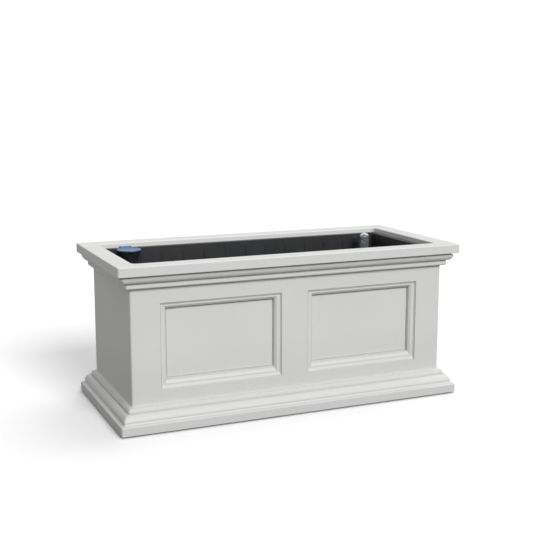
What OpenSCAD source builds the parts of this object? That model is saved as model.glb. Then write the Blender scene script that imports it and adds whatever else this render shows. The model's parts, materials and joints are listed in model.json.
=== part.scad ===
// Self-watering window box: a moulded shell on rubber feet, and inside it a lift-out
// tub that stands above a water reservoir. The front, with two framed panels, faces -Y,
// +X runs along the length and +Z is up. The origin is on the floor, under the middle.

/* [Box] */
// Length over the rim and the plinth
box_length = 914.4; // [860:0.1:1000]
// Depth over the rim and the plinth
box_depth = 420.8; // [400:0.1:480]
// Height from the floor to the top of the rim
box_height = 403; // [385:1:440]
// Wall thickness of the moulded shell
wall = 4.5; // [3.5:0.5:5.5]
// Radius of the shell's upright corners
corner_r = 5; // [3:0.5:7]
// Radius of the eased long edges
edge_r = 2.5; // [1.5:0.5:3.5]
// How far the crown and the base stand out from the body
reach = 35.5; // [33:0.5:38]

/* [Crown] */
// Height of the square slab round the top
slab_h = 23; // [19:0.5:28]
// Set-back of the moulding under the slab
slab_lip = 10; // [8:0.5:12]
// Upright fillet between the slab and the ovolo
slab_drop = 5; // [3:0.5:8]
// Width of the crown's ovolo
crown_ovolo_w = 12; // [10:0.5:14]
// Height of the crown's ovolo
crown_ovolo_h = 15; // [12:0.5:18]
// Set-back of the bead under the ovolo
bead_step = 1.5; // [0.5:0.5:3]
// Height of the bead
bead_h = 14; // [10:0.5:18]
// Radius under the bead
bead_r = 4; // [2:0.5:6]

/* [Base] */
// Height of the plinth up to its sloping ledge
plinth_h = 22; // [18:0.5:26]
// Width of the ledge on the plinth
ledge_w = 8.5; // [7:0.5:10]
// Rise of the ledge towards the body
ledge_rise = 2; // [1:0.5:3]
// Upright riser between the ledge and the ovolo
riser_h = 5; // [3:0.5:7]
// Width of the base's ovolo
base_ovolo_w = 12; // [10:0.5:13]
// Height of the base's ovolo
base_ovolo_h = 17; // [14:0.5:20]
// Set-back of the band above the ovolo
band_step = 2.5; // [1:0.5:4]
// Height of the band
band_h = 11.5; // [9:0.5:14]
// Rise of the sloping top of the band
wash_h = 2.5; // [1:0.5:4]
// Radius at the front of the band's top
band_r = 2; // [1:0.5:3]

/* [Panels] */
// Width of the plain stile at each end
end_stile = 72.7; // [60:0.1:90]
// Width of the plain stile between the panels
middle_stile = 71; // [64:0.5:90]
// Plain rail between the base and the panels
lower_rail = 31.5; // [28:0.5:40]
// Plain rail between the panels and the crown
upper_rail = 39; // [32:0.5:50]
// Slope at the frame's outer edge: its width
step_w = 2.5; // [1:0.5:4]
// Slope at the frame's outer edge: its depth
step_d = 3.5; // [2:0.5:5]
// Width of the frame's flat fillet
fillet_w = 8; // [5:0.5:11]
// Inner slope of the frame: its width
cove_w = 4; // [2:0.5:6]
// Inner slope of the frame: its depth
cove_d = 4.5; // [2:0.5:6]
// Last slope down to the panel's field: its width
field_w = 1.5; // [0.5:0.5:3]
// Last slope down to the panel's field: its depth
field_d = 4; // [2:0.5:5]
// Height of the outer slope along the frame's sill
sill_outer = 10; // [7:0.5:13]
// Height of each flat along the frame's sill
sill_flat = 3; // [1.5:0.5:4]
// Height of the inner slope along the frame's sill
sill_inner = 7.5; // [5:0.5:10]
// Height of the last slope along the frame's sill
sill_last = 2.5; // [1:0.5:4]

/* [Rim] */
// Width of the flat top of the rim
rim_w = 48; // [46:0.5:52]
// Depth of the tub's seat below the rim
seat_drop = 15; // [12:0.5:18]
// Width of the tub's seat
seat_w = 12; // [10:0.5:15]
// Radius of the mouth's corners
mouth_r = 14; // [10:1:20]

/* [Feet] */
// Gap between the floor and the plinth
foot_gap = 4; // [3:0.5:8]
// Length of a foot
foot_l = 80; // [50:1:90]
// Width of a foot
foot_w = 34; // [26:1:40]
// Set-back of the feet from the plinth's ends
foot_inset = 26; // [20:1:32]
// Set-back of the feet from the plinth's front and back
foot_setback = 16; // [12:1:24]
// Depth of a foot's pocket in the plinth
foot_sink = 2.5; // [1.5:0.5:3]
// Radius of a foot's corners
foot_r = 8; // [4:1:12]
// Shank radius of a foot screw
foot_screw_r = 2; // [1.5:0.1:2.5]
// Height of the screw bosses inside the shell
boss_h = 12; // [10:0.5:16]

/* [Tub] */
// Wall thickness of the tub
tub_wall = 3; // [2:0.5:4]
// Clearance round the tub's flange and wall
tub_gap = 1; // [0.5:0.5:2]
// Height of the reservoir's roof above the plinth's bottom
roof_h = 92; // [86:1:104]
// Width of the ledge that carries the deck
tub_ledge = 14; // [10:0.5:18]
// Thickness of the perforated deck
deck_t = 4; // [3:0.5:5]
// Clearance round the deck
deck_gap = 1; // [0.5:0.5:2]
// Length of a slot in the deck
slot_l = 24; // [18:1:28]
// Width of a slot in the deck
slot_w = 4; // [3:0.5:5]
// Spacing of the slots along the deck
slot_pitch_x = 46; // [42:1:60]
// Spacing of the slots across the deck
slot_pitch_y = 30; // [26:1:40]
// Depth of the ribs under the deck
rib_h = 10; // [6:0.5:14]

/* [Wick baskets] */
// Distance of the outer baskets from the deck's ends
basket_end = 142.2; // [138:0.1:180]
// Width of a basket at the deck
basket_top = 108; // [90:1:115]
// Width of a basket at its foot
basket_foot = 84; // [70:1:88]
// Wall thickness of a basket
basket_wall = 2.5; // [2:0.5:3.5]
// Width of a basket's flange beyond its wall
basket_flange = 8; // [6:0.5:12]
// Clearance between a basket and its well
well_gap = 1; // [0.5:0.5:2]
// Width of the windows in a basket's walls
window_w = 5; // [3:0.5:6]
// Spacing of the windows in a basket's walls
window_pitch = 13.5; // [10:0.5:15]

/* [Fill tube] */
// Distance of both tubes from the tub's ends
tube_end = 48.2; // [42:0.1:60]
// Distance of both tubes from the tub's rear wall
tube_inset = 46; // [42:1:60]
// Outer radius of the fill tube
fill_r = 22; // [18:0.5:24]
// Wall thickness of both tubes
tube_wall = 2; // [1.5:0.5:3]
// Radius of the funnel's mouth
funnel_r = 31; // [28:0.5:33]
// Height of the funnel above the tube
funnel_h = 19; // [15:0.5:24]
// Drop from the gauge's bezel to the middle of the clips
clip_drop = 13; // [10:0.5:30]
// Depth of the cap's top below the rim
cap_drop = 8; // [6:0.5:14]
// Thickness of the cap
cap_t = 3; // [2:0.5:4]
// Radius of the cap's hinge pin
pin_r = 2; // [1.5:0.1:2.5]

/* [Level gauge] */
// Outer radius of the gauge's tube
gauge_r = 13; // [12:0.5:16]
// Radius of the float
float_r = 9.5; // [8:0.5:9.5]
// Height of the float
float_h = 30; // [24:1:36]
// Rise of the float from empty to full
float_rise = 52; // [44:1:56]
// Height of the marker
marker_h = 14; // [10:1:16]
// Radius of the float's rod
rod_r = 1.5; // [1:0.1:2]
// Depth of the window's top below the rim
window_drop = 3; // [2:0.5:8]

/* [Overflow] */
// Drop of the overflow's axis below the reservoir's roof
overflow_drop = 2; // [0:0.5:8]
// Outer radius of the overflow's spigot
spigot_r = 8; // [7:0.5:9]
// Length of the overflow's spigot
spigot_l = 20; // [14:1:22]
// Radius of the overflow's threaded barrel
overflow_r = 10; // [9.5:0.5:12]
// Radius of the overflow's bore
overflow_bore = 6; // [5:0.5:6.5]
// Thickness of the overflow's gasket
gasket_t = 2; // [1.5:0.5:3]

/* [Drain] */
// Distance of the drain from the middle
drain_x = 170; // [150:1:190]
// Height of the drain's axis above the shell's floor
drain_h = 15.5; // [15.5:0.5:20]
// Radius of the drain's bore
drain_bore = 7.1; // [6.1:0.1:7.6]
// Radius of the drain bushing's barrel
drain_r = 11; // [10.5:0.5:11.5]
// Half the width of the drain's alcove
alcove_w = 38; // [32:1:44]
// Height of the drain's alcove
alcove_h = 54; // [50:1:58]
// Travel of the drain plug as it unscrews
plug_travel = 12; // [8:1:14]

/* [Hidden] */
$fn = 64;

// Clearances shared by the fits
slip = 0.3;
snug = 0.05;
run_fit = 0.1;
// How far a cutting shape runs past a face, and a joined one into its neighbour
past = 1;

half_l = box_length / 2;
half_d = box_depth / 2;
body_l = half_l - reach;
body_d = half_d - reach;
plinth_z = foot_gap;
floor_z = plinth_z + wall;

// Heights and set-backs of the crown, from the top down
slab_z = box_height - slab_h;
crown_ovolo_z = slab_z - slab_drop;
crown_ovolo_k = slab_lip + crown_ovolo_w;
bead_top = crown_ovolo_z - crown_ovolo_h;
bead_k = crown_ovolo_k + bead_step;
crown_z = bead_top - bead_h;

// Heights and set-backs of the base, from the bottom up
plinth_top = plinth_z + plinth_h;
base_ovolo_z = plinth_top + ledge_rise + riser_h;
base_ovolo_k = ledge_w + base_ovolo_w;
band_z = base_ovolo_z + base_ovolo_h;
band_k = base_ovolo_k + band_step;
band_top = band_z + band_h;
base_z = band_top + wash_h;

// Panels
panel_w = (2 * body_l - 2 * end_stile - middle_stile) / 2;
panel_x = (middle_stile + panel_w) / 2;
panel_low = base_z + lower_rail;
panel_high = crown_z - upper_rail;
recess_d = step_d + cove_d + field_d;

// Rim, seat and tub
seat_z = box_height - seat_drop;
seat_k = rim_w + seat_w;
flange_k = rim_w + tub_gap;
tub_k = seat_k + tub_gap;
tub_in = tub_k + tub_wall;
roof_z = plinth_z + roof_h;
deck_top = roof_z + deck_t;
deck_k = tub_in + deck_gap;
rib_y = (half_d - deck_k) / 2;
rib_t = 3;
rib_l = half_l - tub_in - tub_ledge - 3;
slot_edge = 4;
tube_gap = 0.5;

// Feet
foot_x = half_l - foot_inset - foot_l / 2;
foot_y = half_d - foot_setback - foot_w / 2;
foot_h = foot_gap + foot_sink;
foot_screw_seat = 3;
foot_head_r = 2.4 * foot_screw_r;
foot_head_t = 1.8;
foot_head_z = foot_screw_seat - foot_head_t;
boss_r = 3.5 * foot_screw_r;
boss_top = plinth_z + foot_sink + boss_h;
boss_roof = 2;

// Baskets
basket_pitch = half_l - deck_k - basket_end;
basket_z = floor_z + slip;
flange_t = 3;
well_half = basket_top / 2 + well_gap;
flange_half = basket_top / 2 + basket_flange;
window_low = basket_z + 12;
window_high = roof_z - 12;

// Both tubes stand in the tub's rear corners
tub_rear = half_d - tub_in;
tube_x = half_l - tub_in - tube_end;
tube_y = tub_rear - tube_inset;
collar_w = 5;
tube_low = floor_z + 12;
notch_w = 10;
notch_h = 15;
cap_top = box_height - cap_drop;
funnel_top = cap_top - cap_t - slip;
fill_top = funnel_top - funnel_h;
sleeve_h = 10;
sleeve_w = 3;
mouth_t = 2.5;
mouth_h = 4;
lip_h = 3;
lip_t = 2.5;
tab_w = 16;
tab_l = 5;
clip_h = 12;
clip_t = 3.5;
plate_t = 4;
plate_half = 24;
plate_rise = 12;
web_w = 10;
clip_screw_x = 17;
clip_screw_r = 1.75;
clip_head_t = 2;
hinge_out = funnel_r + 5.5;
hinge_y = tube_y + hinge_out;
hinge_z = funnel_top + slip + cap_t / 2;
ear_x = 12;
ear_t = 4;
ear_h = 9;
ear_root = 6;
knuckle_r = 4.5;

// Level gauge, from the float up
gauge_bore = gauge_r - tube_wall;
gauge_low = floor_z + 3.5;
stop_t = 2;
stop_w = 4;
vent_w = 4;
vent_low = gauge_low + 8;
vent_high = roof_z - 26;
float_z = gauge_low + stop_t + slip;
dome_z = box_height - window_drop - gauge_r;
marker_high = dome_z + gauge_bore * 0.4;
marker_z = marker_high - float_rise - marker_h;
gauge_top = marker_z + marker_h;
bezel_seat = 2;
bezel_h = 8;
bezel_w = 3;
clip_z = gauge_top - bezel_h - clip_drop;
rod_grip = 6;
marker_gap = 3;

// Overflow, along its axis
overflow_z = roof_z - overflow_drop;
overflow_flange_w = 6;
overflow_flange_t = 5;
spigot_base = body_d + gasket_t + overflow_flange_t;
barrel_reach = 10;
barrel_end = body_d - wall - barrel_reach;
nut_t = 6;
nut_w = 7;
screen_cup = 3;
screen_t = 1.6;
screen_slot = 1.8;
screen_pitch = 3.6;

// Drain, along its axis
drain_z = floor_z + drain_h;
bushing_out = body_d + 2.5;
bushing_in = body_d - wall - 9;
bushing_lip = 3;
drain_nut_w = 5;
seal_t = 2;
seal_w = 3.3;
plug_head = bushing_out + seal_t;
plug_head_t = 4;
plug_end = body_d - wall - 6;
wing_r = 19;
wing_t = 6;
wing_l = 13.5;
thread_n = 3;
thread_pitch = 3;
thread_gap = 1.5;
thread_d = 0.8;

shell_grey = [0.81, 0.81, 0.8];
black = [0.12, 0.12, 0.13];
dark_grey = [0.3, 0.31, 0.32];

// Points on an arc about [k, z], from angle a to angle b
function arc(k, z, rk, rz, a, b, n = 8) =
    [for (i = [0 : n]) let (u = a + (b - a) * i / n) [k + rk * cos(u), z + rz * sin(u)]];

// Outlines as [set-back, height], a depth t inside the outer face; t is 0 on the outside
function crown_line(t) = concat(
    t == 0 ? arc(edge_r, box_height - edge_r, edge_r, edge_r, 90, 180, 4)
        : [[t, box_height - t]],
    t == 0 ? arc(edge_r, slab_z + edge_r, edge_r, edge_r, 180, 270, 4) : [[t, slab_z + t]],
    [[slab_lip + t, slab_z + t]],
    arc(crown_ovolo_k, crown_ovolo_z, crown_ovolo_w - t, crown_ovolo_h - t, 180, 270),
    [[bead_k + t, bead_top + t]],
    t == 0 ? arc(bead_k + bead_r, crown_z + bead_r, bead_r, bead_r, 180, 270, 4)
        : [[bead_k + t, crown_z + t]],
    [[reach + t, crown_z + t]]);

function base_line(t) = concat(
    [[reach + t, t == 0 ? base_z : band_top - t]],
    t == 0 ? arc(band_k + band_r, band_top - band_r, band_r, band_r, 90, 180, 4)
        : [[band_k + t, band_top - t]],
    [[band_k + t, band_z - t]],
    arc(base_ovolo_k, base_ovolo_z, base_ovolo_w - t, base_ovolo_h - t, 90, 180),
    [[ledge_w + t, plinth_top + (t == 0 ? ledge_rise : -t)]],
    t == 0 ? arc(edge_r, plinth_top - edge_r, edge_r, edge_r, 90, 180, 4)
        : [[t, plinth_top - t]],
    t == 0 ? arc(edge_r, plinth_z + edge_r, edge_r, edge_r, 180, 270, 4)
        : [[t, plinth_z + t]]);

// A symmetric section of half width h, from a list of set-backs and heights
module section(h, line) {
    n = len(line) - 1;
    polygon(concat([for (p = line) [h - p[0], p[1]]],
        [for (i = [n : -1 : 0]) [line[i][0] - h, line[i][1]]]));
}

// The block that the outline sweeps round the box, with mitred corners
module swept_block(t) {
    line = concat(crown_line(t), base_line(t));
    intersection() {
        rotate([90, 0, 90]) linear_extrude(box_length + 2 * past, center = true)
            section(half_d, line);
        rotate([90, 0, 0]) linear_extrude(box_depth + 2 * past, center = true)
            section(half_l, line);
    }
}

module round_rect(hx, hy, r) {
    square([2 * hx, 2 * (hy - r)], center = true);
    square([2 * (hx - r), 2 * hy], center = true);
    for (x = [-1, 1], y = [-1, 1]) translate([x * (hx - r), y * (hy - r)]) circle(r);
}

// An upright rounded block, set back k from the box's faces, from height z0 to z1
module inset_block(k, r, z0, z1) {
    translate([0, 0, z0]) linear_extrude(z1 - z0) round_rect(half_l - k, half_d - k, r);
}

// What rounding takes off the four upright corners at set-back k
module corner_trim(k, z0, z1) {
    translate([0, 0, z0]) linear_extrude(z1 - z0) difference() {
        square([2 * (half_l - k + past), 2 * (half_d - k + past)], center = true);
        square([2 * (half_l - k + past), 2 * (half_d - k - corner_r)], center = true);
        square([2 * (half_l - k - corner_r), 2 * (half_d - k + past)], center = true);
        round_rect(half_l - k, half_d - k, corner_r);
    }
}

// Frame of a panel as [inset, depth], for the sides and top, and for the sill
function frame_line() = [[0, -past], [0, 0], [step_w, step_d], [step_w + fillet_w, step_d],
    [step_w + fillet_w + cove_w, step_d + cove_d],
    [step_w + fillet_w + cove_w + field_w, recess_d]];
function sill_line() = [[0, -past], [0, 0], [sill_outer, step_d],
    [sill_outer + sill_flat, step_d],
    [sill_outer + sill_flat + sill_inner, step_d + cove_d],
    [sill_outer + 2 * sill_flat + sill_inner, step_d + cove_d],
    [sill_outer + 2 * sill_flat + sill_inner + sill_last, recess_d]];

// The hollow of a front panel whose middle is at x
module panel_hollow(x) {
    side = frame_line();
    sill = sill_line();
    n = len(side) - 1;
    intersection() {
        translate([x, -body_d, panel_low - past]) linear_extrude(panel_high - panel_low + 2 * past)
            polygon(concat([for (p = side) [p[0] - panel_w / 2, p[1]]],
                [for (i = [n : -1 : 0]) [panel_w / 2 - side[i][0], side[i][1]]]));
        translate([x, -body_d, 0]) rotate([90, 0, 90])
            linear_extrude(panel_w + 2 * past, center = true)
            polygon(concat([for (p = sill) [p[1], panel_low + p[0]]],
                [for (i = [n : -1 : 0]) [side[i][1], panel_high - side[i][0]]]));
    }
}

// The wall behind a front panel, which stands into the shell
module panel_backing(x) {
    translate([x - panel_w / 2 - wall, -body_d - wall - past, panel_low - wall])
        cube([panel_w + 2 * wall, recess_d + 2 * wall + past, panel_high - panel_low + 2 * wall]);
}

module on_both_faces() {
    for (x = [-panel_x, panel_x]) {
        translate([x, 0, 0]) children();
        mirror([0, 1, 0]) translate([x, 0, 0]) children();
    }
}

module at_feet() {
    for (x = [-foot_x, foot_x], y = [-foot_y, foot_y]) translate([x, y, 0]) children();
}

module foot_outline(grow) {
    round_rect(foot_l / 2 + grow, foot_w / 2 + grow, foot_r + grow);
}

// A cylinder along Y about the axis x, z, from y0 to y1
module rod_y(x, z, y0, y1, r) {
    translate([x, y0, z]) rotate([-90, 0, 0]) cylinder(h = y1 - y0, r = r);
}

// Walls and bosses that stand into the shell's hollow
module shell_insides() {
    on_both_faces() panel_backing(0);
    translate([drain_x - alcove_w - wall, body_d - wall, plinth_z])
        cube([2 * (alcove_w + wall), reach + wall, alcove_h + wall]);
    at_feet() {
        linear_extrude(floor_z + foot_sink) foot_outline(wall);
        cylinder(h = boss_top, r = boss_r);
    }
}

// The lip that turns down inside the rim, and the seat for the tub
module rim_return() {
    difference() {
        inset_block(rim_w - wall, mouth_r + wall, seat_z - wall, box_height - wall / 2);
        inset_block(rim_w, mouth_r, seat_z, box_height);
        inset_block(seat_k, mouth_r, seat_z - wall - past, box_height);
    }
}

module outer_shell() {
    color(shell_grey) difference() {
        union() {
            difference() {
                swept_block(0);
                difference() {
                    swept_block(wall);
                    shell_insides();
                }
                inset_block(rim_w, mouth_r, box_height - wall - past, box_height + past);
            }
            rim_return();
        }
        on_both_faces() panel_hollow(0);
        corner_trim(0, plinth_z - past, plinth_top);
        corner_trim(0, slab_z, box_height + past);
        corner_trim(reach, base_z, crown_z);
        translate([drain_x - alcove_w, body_d, plinth_z - past])
            cube([2 * alcove_w, reach + past, alcove_h + past]);
        rod_y(0, overflow_z, body_d - wall - past, body_d + past, overflow_r + slip);
        rod_y(drain_x, drain_z, body_d - wall - past, body_d + past, drain_r + run_fit);
        at_feet() {
            translate([0, 0, plinth_z - past]) linear_extrude(foot_sink + past)
                foot_outline(slip);
            translate([0, 0, plinth_z])
                cylinder(h = boss_top - plinth_z - boss_roof, r = foot_screw_r + snug);
        }
    }
}

module foot(ix, iy) {
    color(black) translate([ix * foot_x, iy * foot_y, 0]) difference() {
        linear_extrude(foot_h) foot_outline(0);
        translate([0, 0, -past]) cylinder(h = foot_screw_seat + past, r = foot_head_r + slip);
        translate([0, 0, -past]) cylinder(h = foot_h + 2 * past, r = foot_screw_r + slip);
    }
}
module foot_front_left() { foot(-1, -1); }
module foot_front_right() { foot(1, -1); }
module foot_rear_left() { foot(-1, 1); }
module foot_rear_right() { foot(1, 1); }

module foot_screws() {
    color("silver") at_feet() {
        translate([0, 0, foot_head_z]) cylinder(h = foot_head_t, r = foot_head_r);
        translate([0, 0, foot_head_z])
            cylinder(h = boss_top - boss_roof - 1 - foot_head_z, r = foot_screw_r);
    }
}

module overflow_fitting() {
    color(black) difference() {
        union() {
            rod_y(0, overflow_z, barrel_end, spigot_base, overflow_r);
            rod_y(0, overflow_z, body_d + gasket_t, spigot_base, overflow_r + overflow_flange_w);
            rod_y(0, overflow_z, barrel_end, spigot_base + spigot_l, spigot_r);
        }
        rod_y(0, overflow_z, barrel_end - past, spigot_base + spigot_l + past, overflow_bore);
    }
}

module overflow_gasket() {
    color(dark_grey) difference() {
        rod_y(0, overflow_z, body_d, body_d + gasket_t, overflow_r + overflow_flange_w - 1);
        rod_y(0, overflow_z, body_d - past, body_d + gasket_t + past, overflow_r + snug);
    }
}

// A six-sided nut along Y against the inside of the rear wall, with flats up and down
module wall_nut(x, z, r, bore) {
    difference() {
        translate([x, body_d - wall - nut_t, z]) rotate([-90, 0, 0])
            cylinder(h = nut_t, r = r, $fn = 6);
        rod_y(x, z, body_d - wall - nut_t - past, body_d - wall + past, bore);
    }
}

module overflow_nut() {
    color(black) wall_nut(0, overflow_z, overflow_r + nut_w, overflow_r + snug);
}

module overflow_screen() {
    color(dark_grey) difference() {
        rod_y(0, overflow_z, barrel_end - screen_t, barrel_end + screen_cup, overflow_r + 2);
        rod_y(0, overflow_z, barrel_end, barrel_end + screen_cup + past, overflow_r + snug);
        for (i = [-1 : 1])
            translate([i * screen_pitch - screen_slot / 2, barrel_end - screen_t - past,
                overflow_z - overflow_bore + 2])
                cube([screen_slot, screen_t + 2 * past, 2 * overflow_bore - 4]);
    }
}

module drain_bushing() {
    color(black) difference() {
        union() {
            rod_y(drain_x, drain_z, bushing_in, bushing_out, drain_r);
            rod_y(drain_x, drain_z, body_d, bushing_out, drain_r + bushing_lip);
        }
        rod_y(drain_x, drain_z, bushing_in - past, bushing_out + past, drain_bore);
    }
}

module drain_locknut() {
    color(black) wall_nut(drain_x, drain_z, drain_r + drain_nut_w, drain_r + snug);
}

module plug_seal() {
    inner = drain_bore + 0.2;
    color([0.55, 0.16, 0.13]) difference() {
        rod_y(drain_x, drain_z, bushing_out, plug_head, inner + seal_w);
        rod_y(drain_x, drain_z, bushing_out - past, plug_head + past, inner);
    }
}

module drain_plug() {
    shank = drain_bore - run_fit;
    wing_base = plug_head + plug_head_t;
    color(dark_grey) {
        difference() {
            rod_y(drain_x, drain_z, plug_end, wing_base, shank);
            for (i = [0 : thread_n - 1]) {
                y = plug_end + thread_gap + i * thread_pitch;
                difference() {
                    rod_y(drain_x, drain_z, y, y + thread_gap, shank + past);
                    rod_y(drain_x, drain_z, y - past, y + thread_gap + past, shank - thread_d);
                }
            }
        }
        rod_y(drain_x, drain_z, plug_head, wing_base, drain_bore + seal_w + 1);
        intersection() {
            rod_y(drain_x, drain_z, wing_base - past, wing_base + wing_l, wing_r);
            translate([drain_x - wing_r, plug_head, drain_z - wing_t / 2])
                cube([2 * wing_r, plug_head_t + wing_l, wing_t]);
        }
    }
}

module inner_tub() {
    color(black) difference() {
        union() {
            inset_block(flange_k, mouth_r - tub_gap, seat_z, seat_z + tub_wall);
            inset_block(tub_k, mouth_r - tub_gap, roof_z - tub_wall, seat_z + tub_wall);
        }
        inset_block(tub_in, mouth_r - tub_gap - tub_wall, roof_z, seat_z + tub_wall + past);
        inset_block(tub_in + tub_ledge, mouth_r - tub_gap - tub_wall, roof_z - tub_wall - past,
            roof_z + past);
        for (x = [-tube_x, tube_x], s = [-1, 1])
            rod_y(x + s * clip_screw_x, clip_z, tub_rear - past, half_d, clip_screw_r + snug);
    }
}

// Slots of the deck that stay clear of the wells, the tubes and the ribs
function clear_of_wells(x, y) =
    abs(y) > flange_half + slot_w || min([for (w = [-1 : 1]) abs(x - w * basket_pitch)])
        > flange_half + slot_l / 2 + slot_edge;
function clear_of_tubes(x, y) =
    y < tube_y - fill_r - collar_w - slot_w || abs(x) < tube_x - fill_r - collar_w - slot_l / 2;
function clear_of_ribs(y) = abs(abs(y) - rib_y) > (rib_t + slot_w) / 2 + 1;
slot_nx = floor((half_l - deck_k - tub_ledge - slot_l / 2 - slot_edge) / slot_pitch_x);
slot_ny = floor((half_d - deck_k - tub_ledge - slot_w - slot_edge) / slot_pitch_y);

module soil_deck() {
    color(dark_grey) difference() {
        union() {
            inset_block(deck_k, mouth_r - tub_gap - tub_wall - deck_gap, roof_z, deck_top);
            for (s = [-1, 1])
                translate([-rib_l, s * rib_y - rib_t / 2, roof_z - rib_h])
                    cube([2 * rib_l, rib_t, rib_h + past]);
        }
        for (i = [-1 : 1]) translate([i * basket_pitch - well_half, -well_half, roof_z - past])
            cube([2 * well_half, 2 * well_half, deck_t + 2 * past]);
        translate([-tube_x, tube_y, roof_z - past])
            cylinder(h = deck_t + 2 * past, r = fill_r + tube_gap);
        translate([tube_x, tube_y, roof_z - past])
            cylinder(h = deck_t + 2 * past, r = gauge_r + tube_gap);
        for (i = [-slot_nx : slot_nx], j = [-slot_ny : slot_ny]) {
            x = i * slot_pitch_x;
            y = j * slot_pitch_y;
            if (clear_of_wells(x, y) && clear_of_tubes(x, y) && clear_of_ribs(y))
                translate([x - slot_l / 2, y - slot_w / 2, roof_z - past])
                    cube([slot_l, slot_w, deck_t + 2 * past]);
        }
    }
}

// A square tapering block between z0 and z1, of half width a at z0 and b at z1
module taper(a, b, z0, z1) {
    intersection_for(turn = [0, 90])
        rotate([90, 0, turn]) linear_extrude(4 * max(a, b), center = true)
            polygon([[-a, z0], [a, z0], [b, z1], [-b, z1]]);
}

module wick_basket(i) {
    top = basket_top / 2;
    foot = basket_foot / 2;
    lip = deck_top + flange_t;
    color(black) translate([i * basket_pitch, 0, 0]) difference() {
        union() {
            taper(foot, top, basket_z, lip);
            translate([-flange_half, -flange_half, deck_top])
                cube([2 * flange_half, 2 * flange_half, flange_t]);
        }
        taper(foot - basket_wall, top - basket_wall, basket_z + basket_wall, lip + past);
        for (turn = [0, 90], j = [-2 : 2]) rotate([0, 0, turn])
            translate([-top - past, j * window_pitch - window_w / 2, window_low])
                cube([2 * (top + past), window_w, window_high - window_low]);
        for (j = [-1 : 1]) translate([-foot / 2, j * window_pitch - window_w / 2, basket_z - past])
            cube([foot, window_w, basket_wall + 2 * past]);
    }
}
module wick_basket_left() { wick_basket(-1); }
module wick_basket_middle() { wick_basket(0); }
module wick_basket_right() { wick_basket(1); }

module fill_tube() {
    color(dark_grey) translate([-tube_x, tube_y, 0]) difference() {
        union() {
            translate([0, 0, tube_low]) cylinder(h = fill_top - tube_low, r = fill_r);
            translate([0, 0, deck_top]) cylinder(h = flange_t, r = fill_r + collar_w);
        }
        translate([0, 0, tube_low - past])
            cylinder(h = fill_top - tube_low + 2 * past, r = fill_r - tube_wall);
        translate([-fill_r - past, -notch_w / 2, tube_low - past])
            cube([2 * (fill_r + past), notch_w, notch_h + past]);
    }
}

module fill_funnel() {
    inner = fill_r - tube_wall;
    outer = fill_r + sleeve_w;
    throat = funnel_r - mouth_t;
    color(black) translate([-tube_x, tube_y, 0]) difference() {
        union() {
            rotate_extrude() polygon([[inner, fill_top], [fill_r + snug, fill_top],
                [fill_r + snug, fill_top - sleeve_h], [outer, fill_top - sleeve_h],
                [outer, fill_top + tube_wall], [funnel_r, funnel_top - mouth_h],
                [funnel_r, funnel_top], [throat, funnel_top], [throat, funnel_top - mouth_h],
                [inner, fill_top + sleeve_w]]);
            for (s = [-1, 1]) translate([s * (ear_x + ear_t / 2) - ear_t / 2, 0, 0]) {
                translate([0, funnel_r - ear_root, funnel_top - ear_h])
                    cube([ear_t, hinge_out - funnel_r + ear_root + knuckle_r, ear_h]);
                translate([0, hinge_out, hinge_z]) rotate([0, 90, 0])
                    cylinder(h = ear_t, r = knuckle_r);
                translate([0, hinge_out - knuckle_r, funnel_top - 1])
                    cube([ear_t, 2 * knuckle_r, hinge_z - funnel_top + 1]);
            }
        }
        translate([-ear_x - ear_t - past, hinge_out, hinge_z]) rotate([0, 90, 0])
            cylinder(h = 2 * (ear_x + ear_t + past), r = pin_r + snug);
        translate([0, 0, funnel_top - mouth_h]) cylinder(h = 5 * mouth_h, r = throat);
    }
}

module fill_cap() {
    low = funnel_top + slip;
    lip_r = funnel_r - mouth_t - 1;
    half = ear_x - slip;
    color([0.2, 0.36, 0.55]) translate([-tube_x, tube_y, 0]) difference() {
        union() {
            translate([0, 0, low]) cylinder(h = cap_t, r = funnel_r);
            translate([0, 0, low - lip_h]) difference() {
                cylinder(h = lip_h + past, r = lip_r);
                translate([0, 0, -past]) cylinder(h = lip_h + past, r = lip_r - lip_t);
            }
            translate([-tab_w / 2, -funnel_r - tab_l, low]) cube([tab_w, 2 * tab_l, cap_t]);
            translate([-half, 0, low]) cube([2 * half, hinge_out, cap_t]);
            translate([-half, hinge_out, hinge_z]) rotate([0, 90, 0])
                cylinder(h = 2 * half, r = knuckle_r);
        }
        translate([-ear_x - past, hinge_out, hinge_z]) rotate([0, 90, 0])
            cylinder(h = 2 * (ear_x + past), r = pin_r + run_fit);
        for (s = [-1, 1])
            translate([s * (ear_x + ear_t / 2) - ear_t / 2 - slip,
                funnel_r - ear_root - slip, low - lip_h - past])
                cube([ear_t + 2 * slip, 4 * ear_root, cap_t + lip_h + 2 * past]);
    }
}

module cap_hinge_pin() {
    span = ear_x + ear_t + 0.5;
    color("silver") translate([-tube_x - span, hinge_y, hinge_z]) rotate([0, 90, 0])
        cylinder(h = 2 * span, r = pin_r);
}

// A clip on the tub's rear wall round a tube of radius r at x
module tube_clip(x, r) {
    color(black) translate([x, 0, clip_z]) difference() {
        union() {
            translate([0, tube_y, -clip_h / 2]) cylinder(h = clip_h, r = r + slip + clip_t);
            translate([-web_w / 2, tube_y, -clip_h / 2])
                cube([web_w, tub_rear - tube_y, clip_h]);
            translate([-plate_half, tub_rear - plate_t, -plate_rise])
                cube([2 * plate_half, plate_t, 2 * plate_rise]);
        }
        translate([0, tube_y, -clip_h]) cylinder(h = 2 * clip_h, r = r + slip);
        for (s = [-1, 1])
            rod_y(s * clip_screw_x, 0, tub_rear - plate_t - past, tub_rear + past,
                clip_screw_r + snug);
    }
}
module fill_tube_clip() { tube_clip(-tube_x, fill_r); }
module level_tube_clip() { tube_clip(tube_x, gauge_r); }

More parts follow.
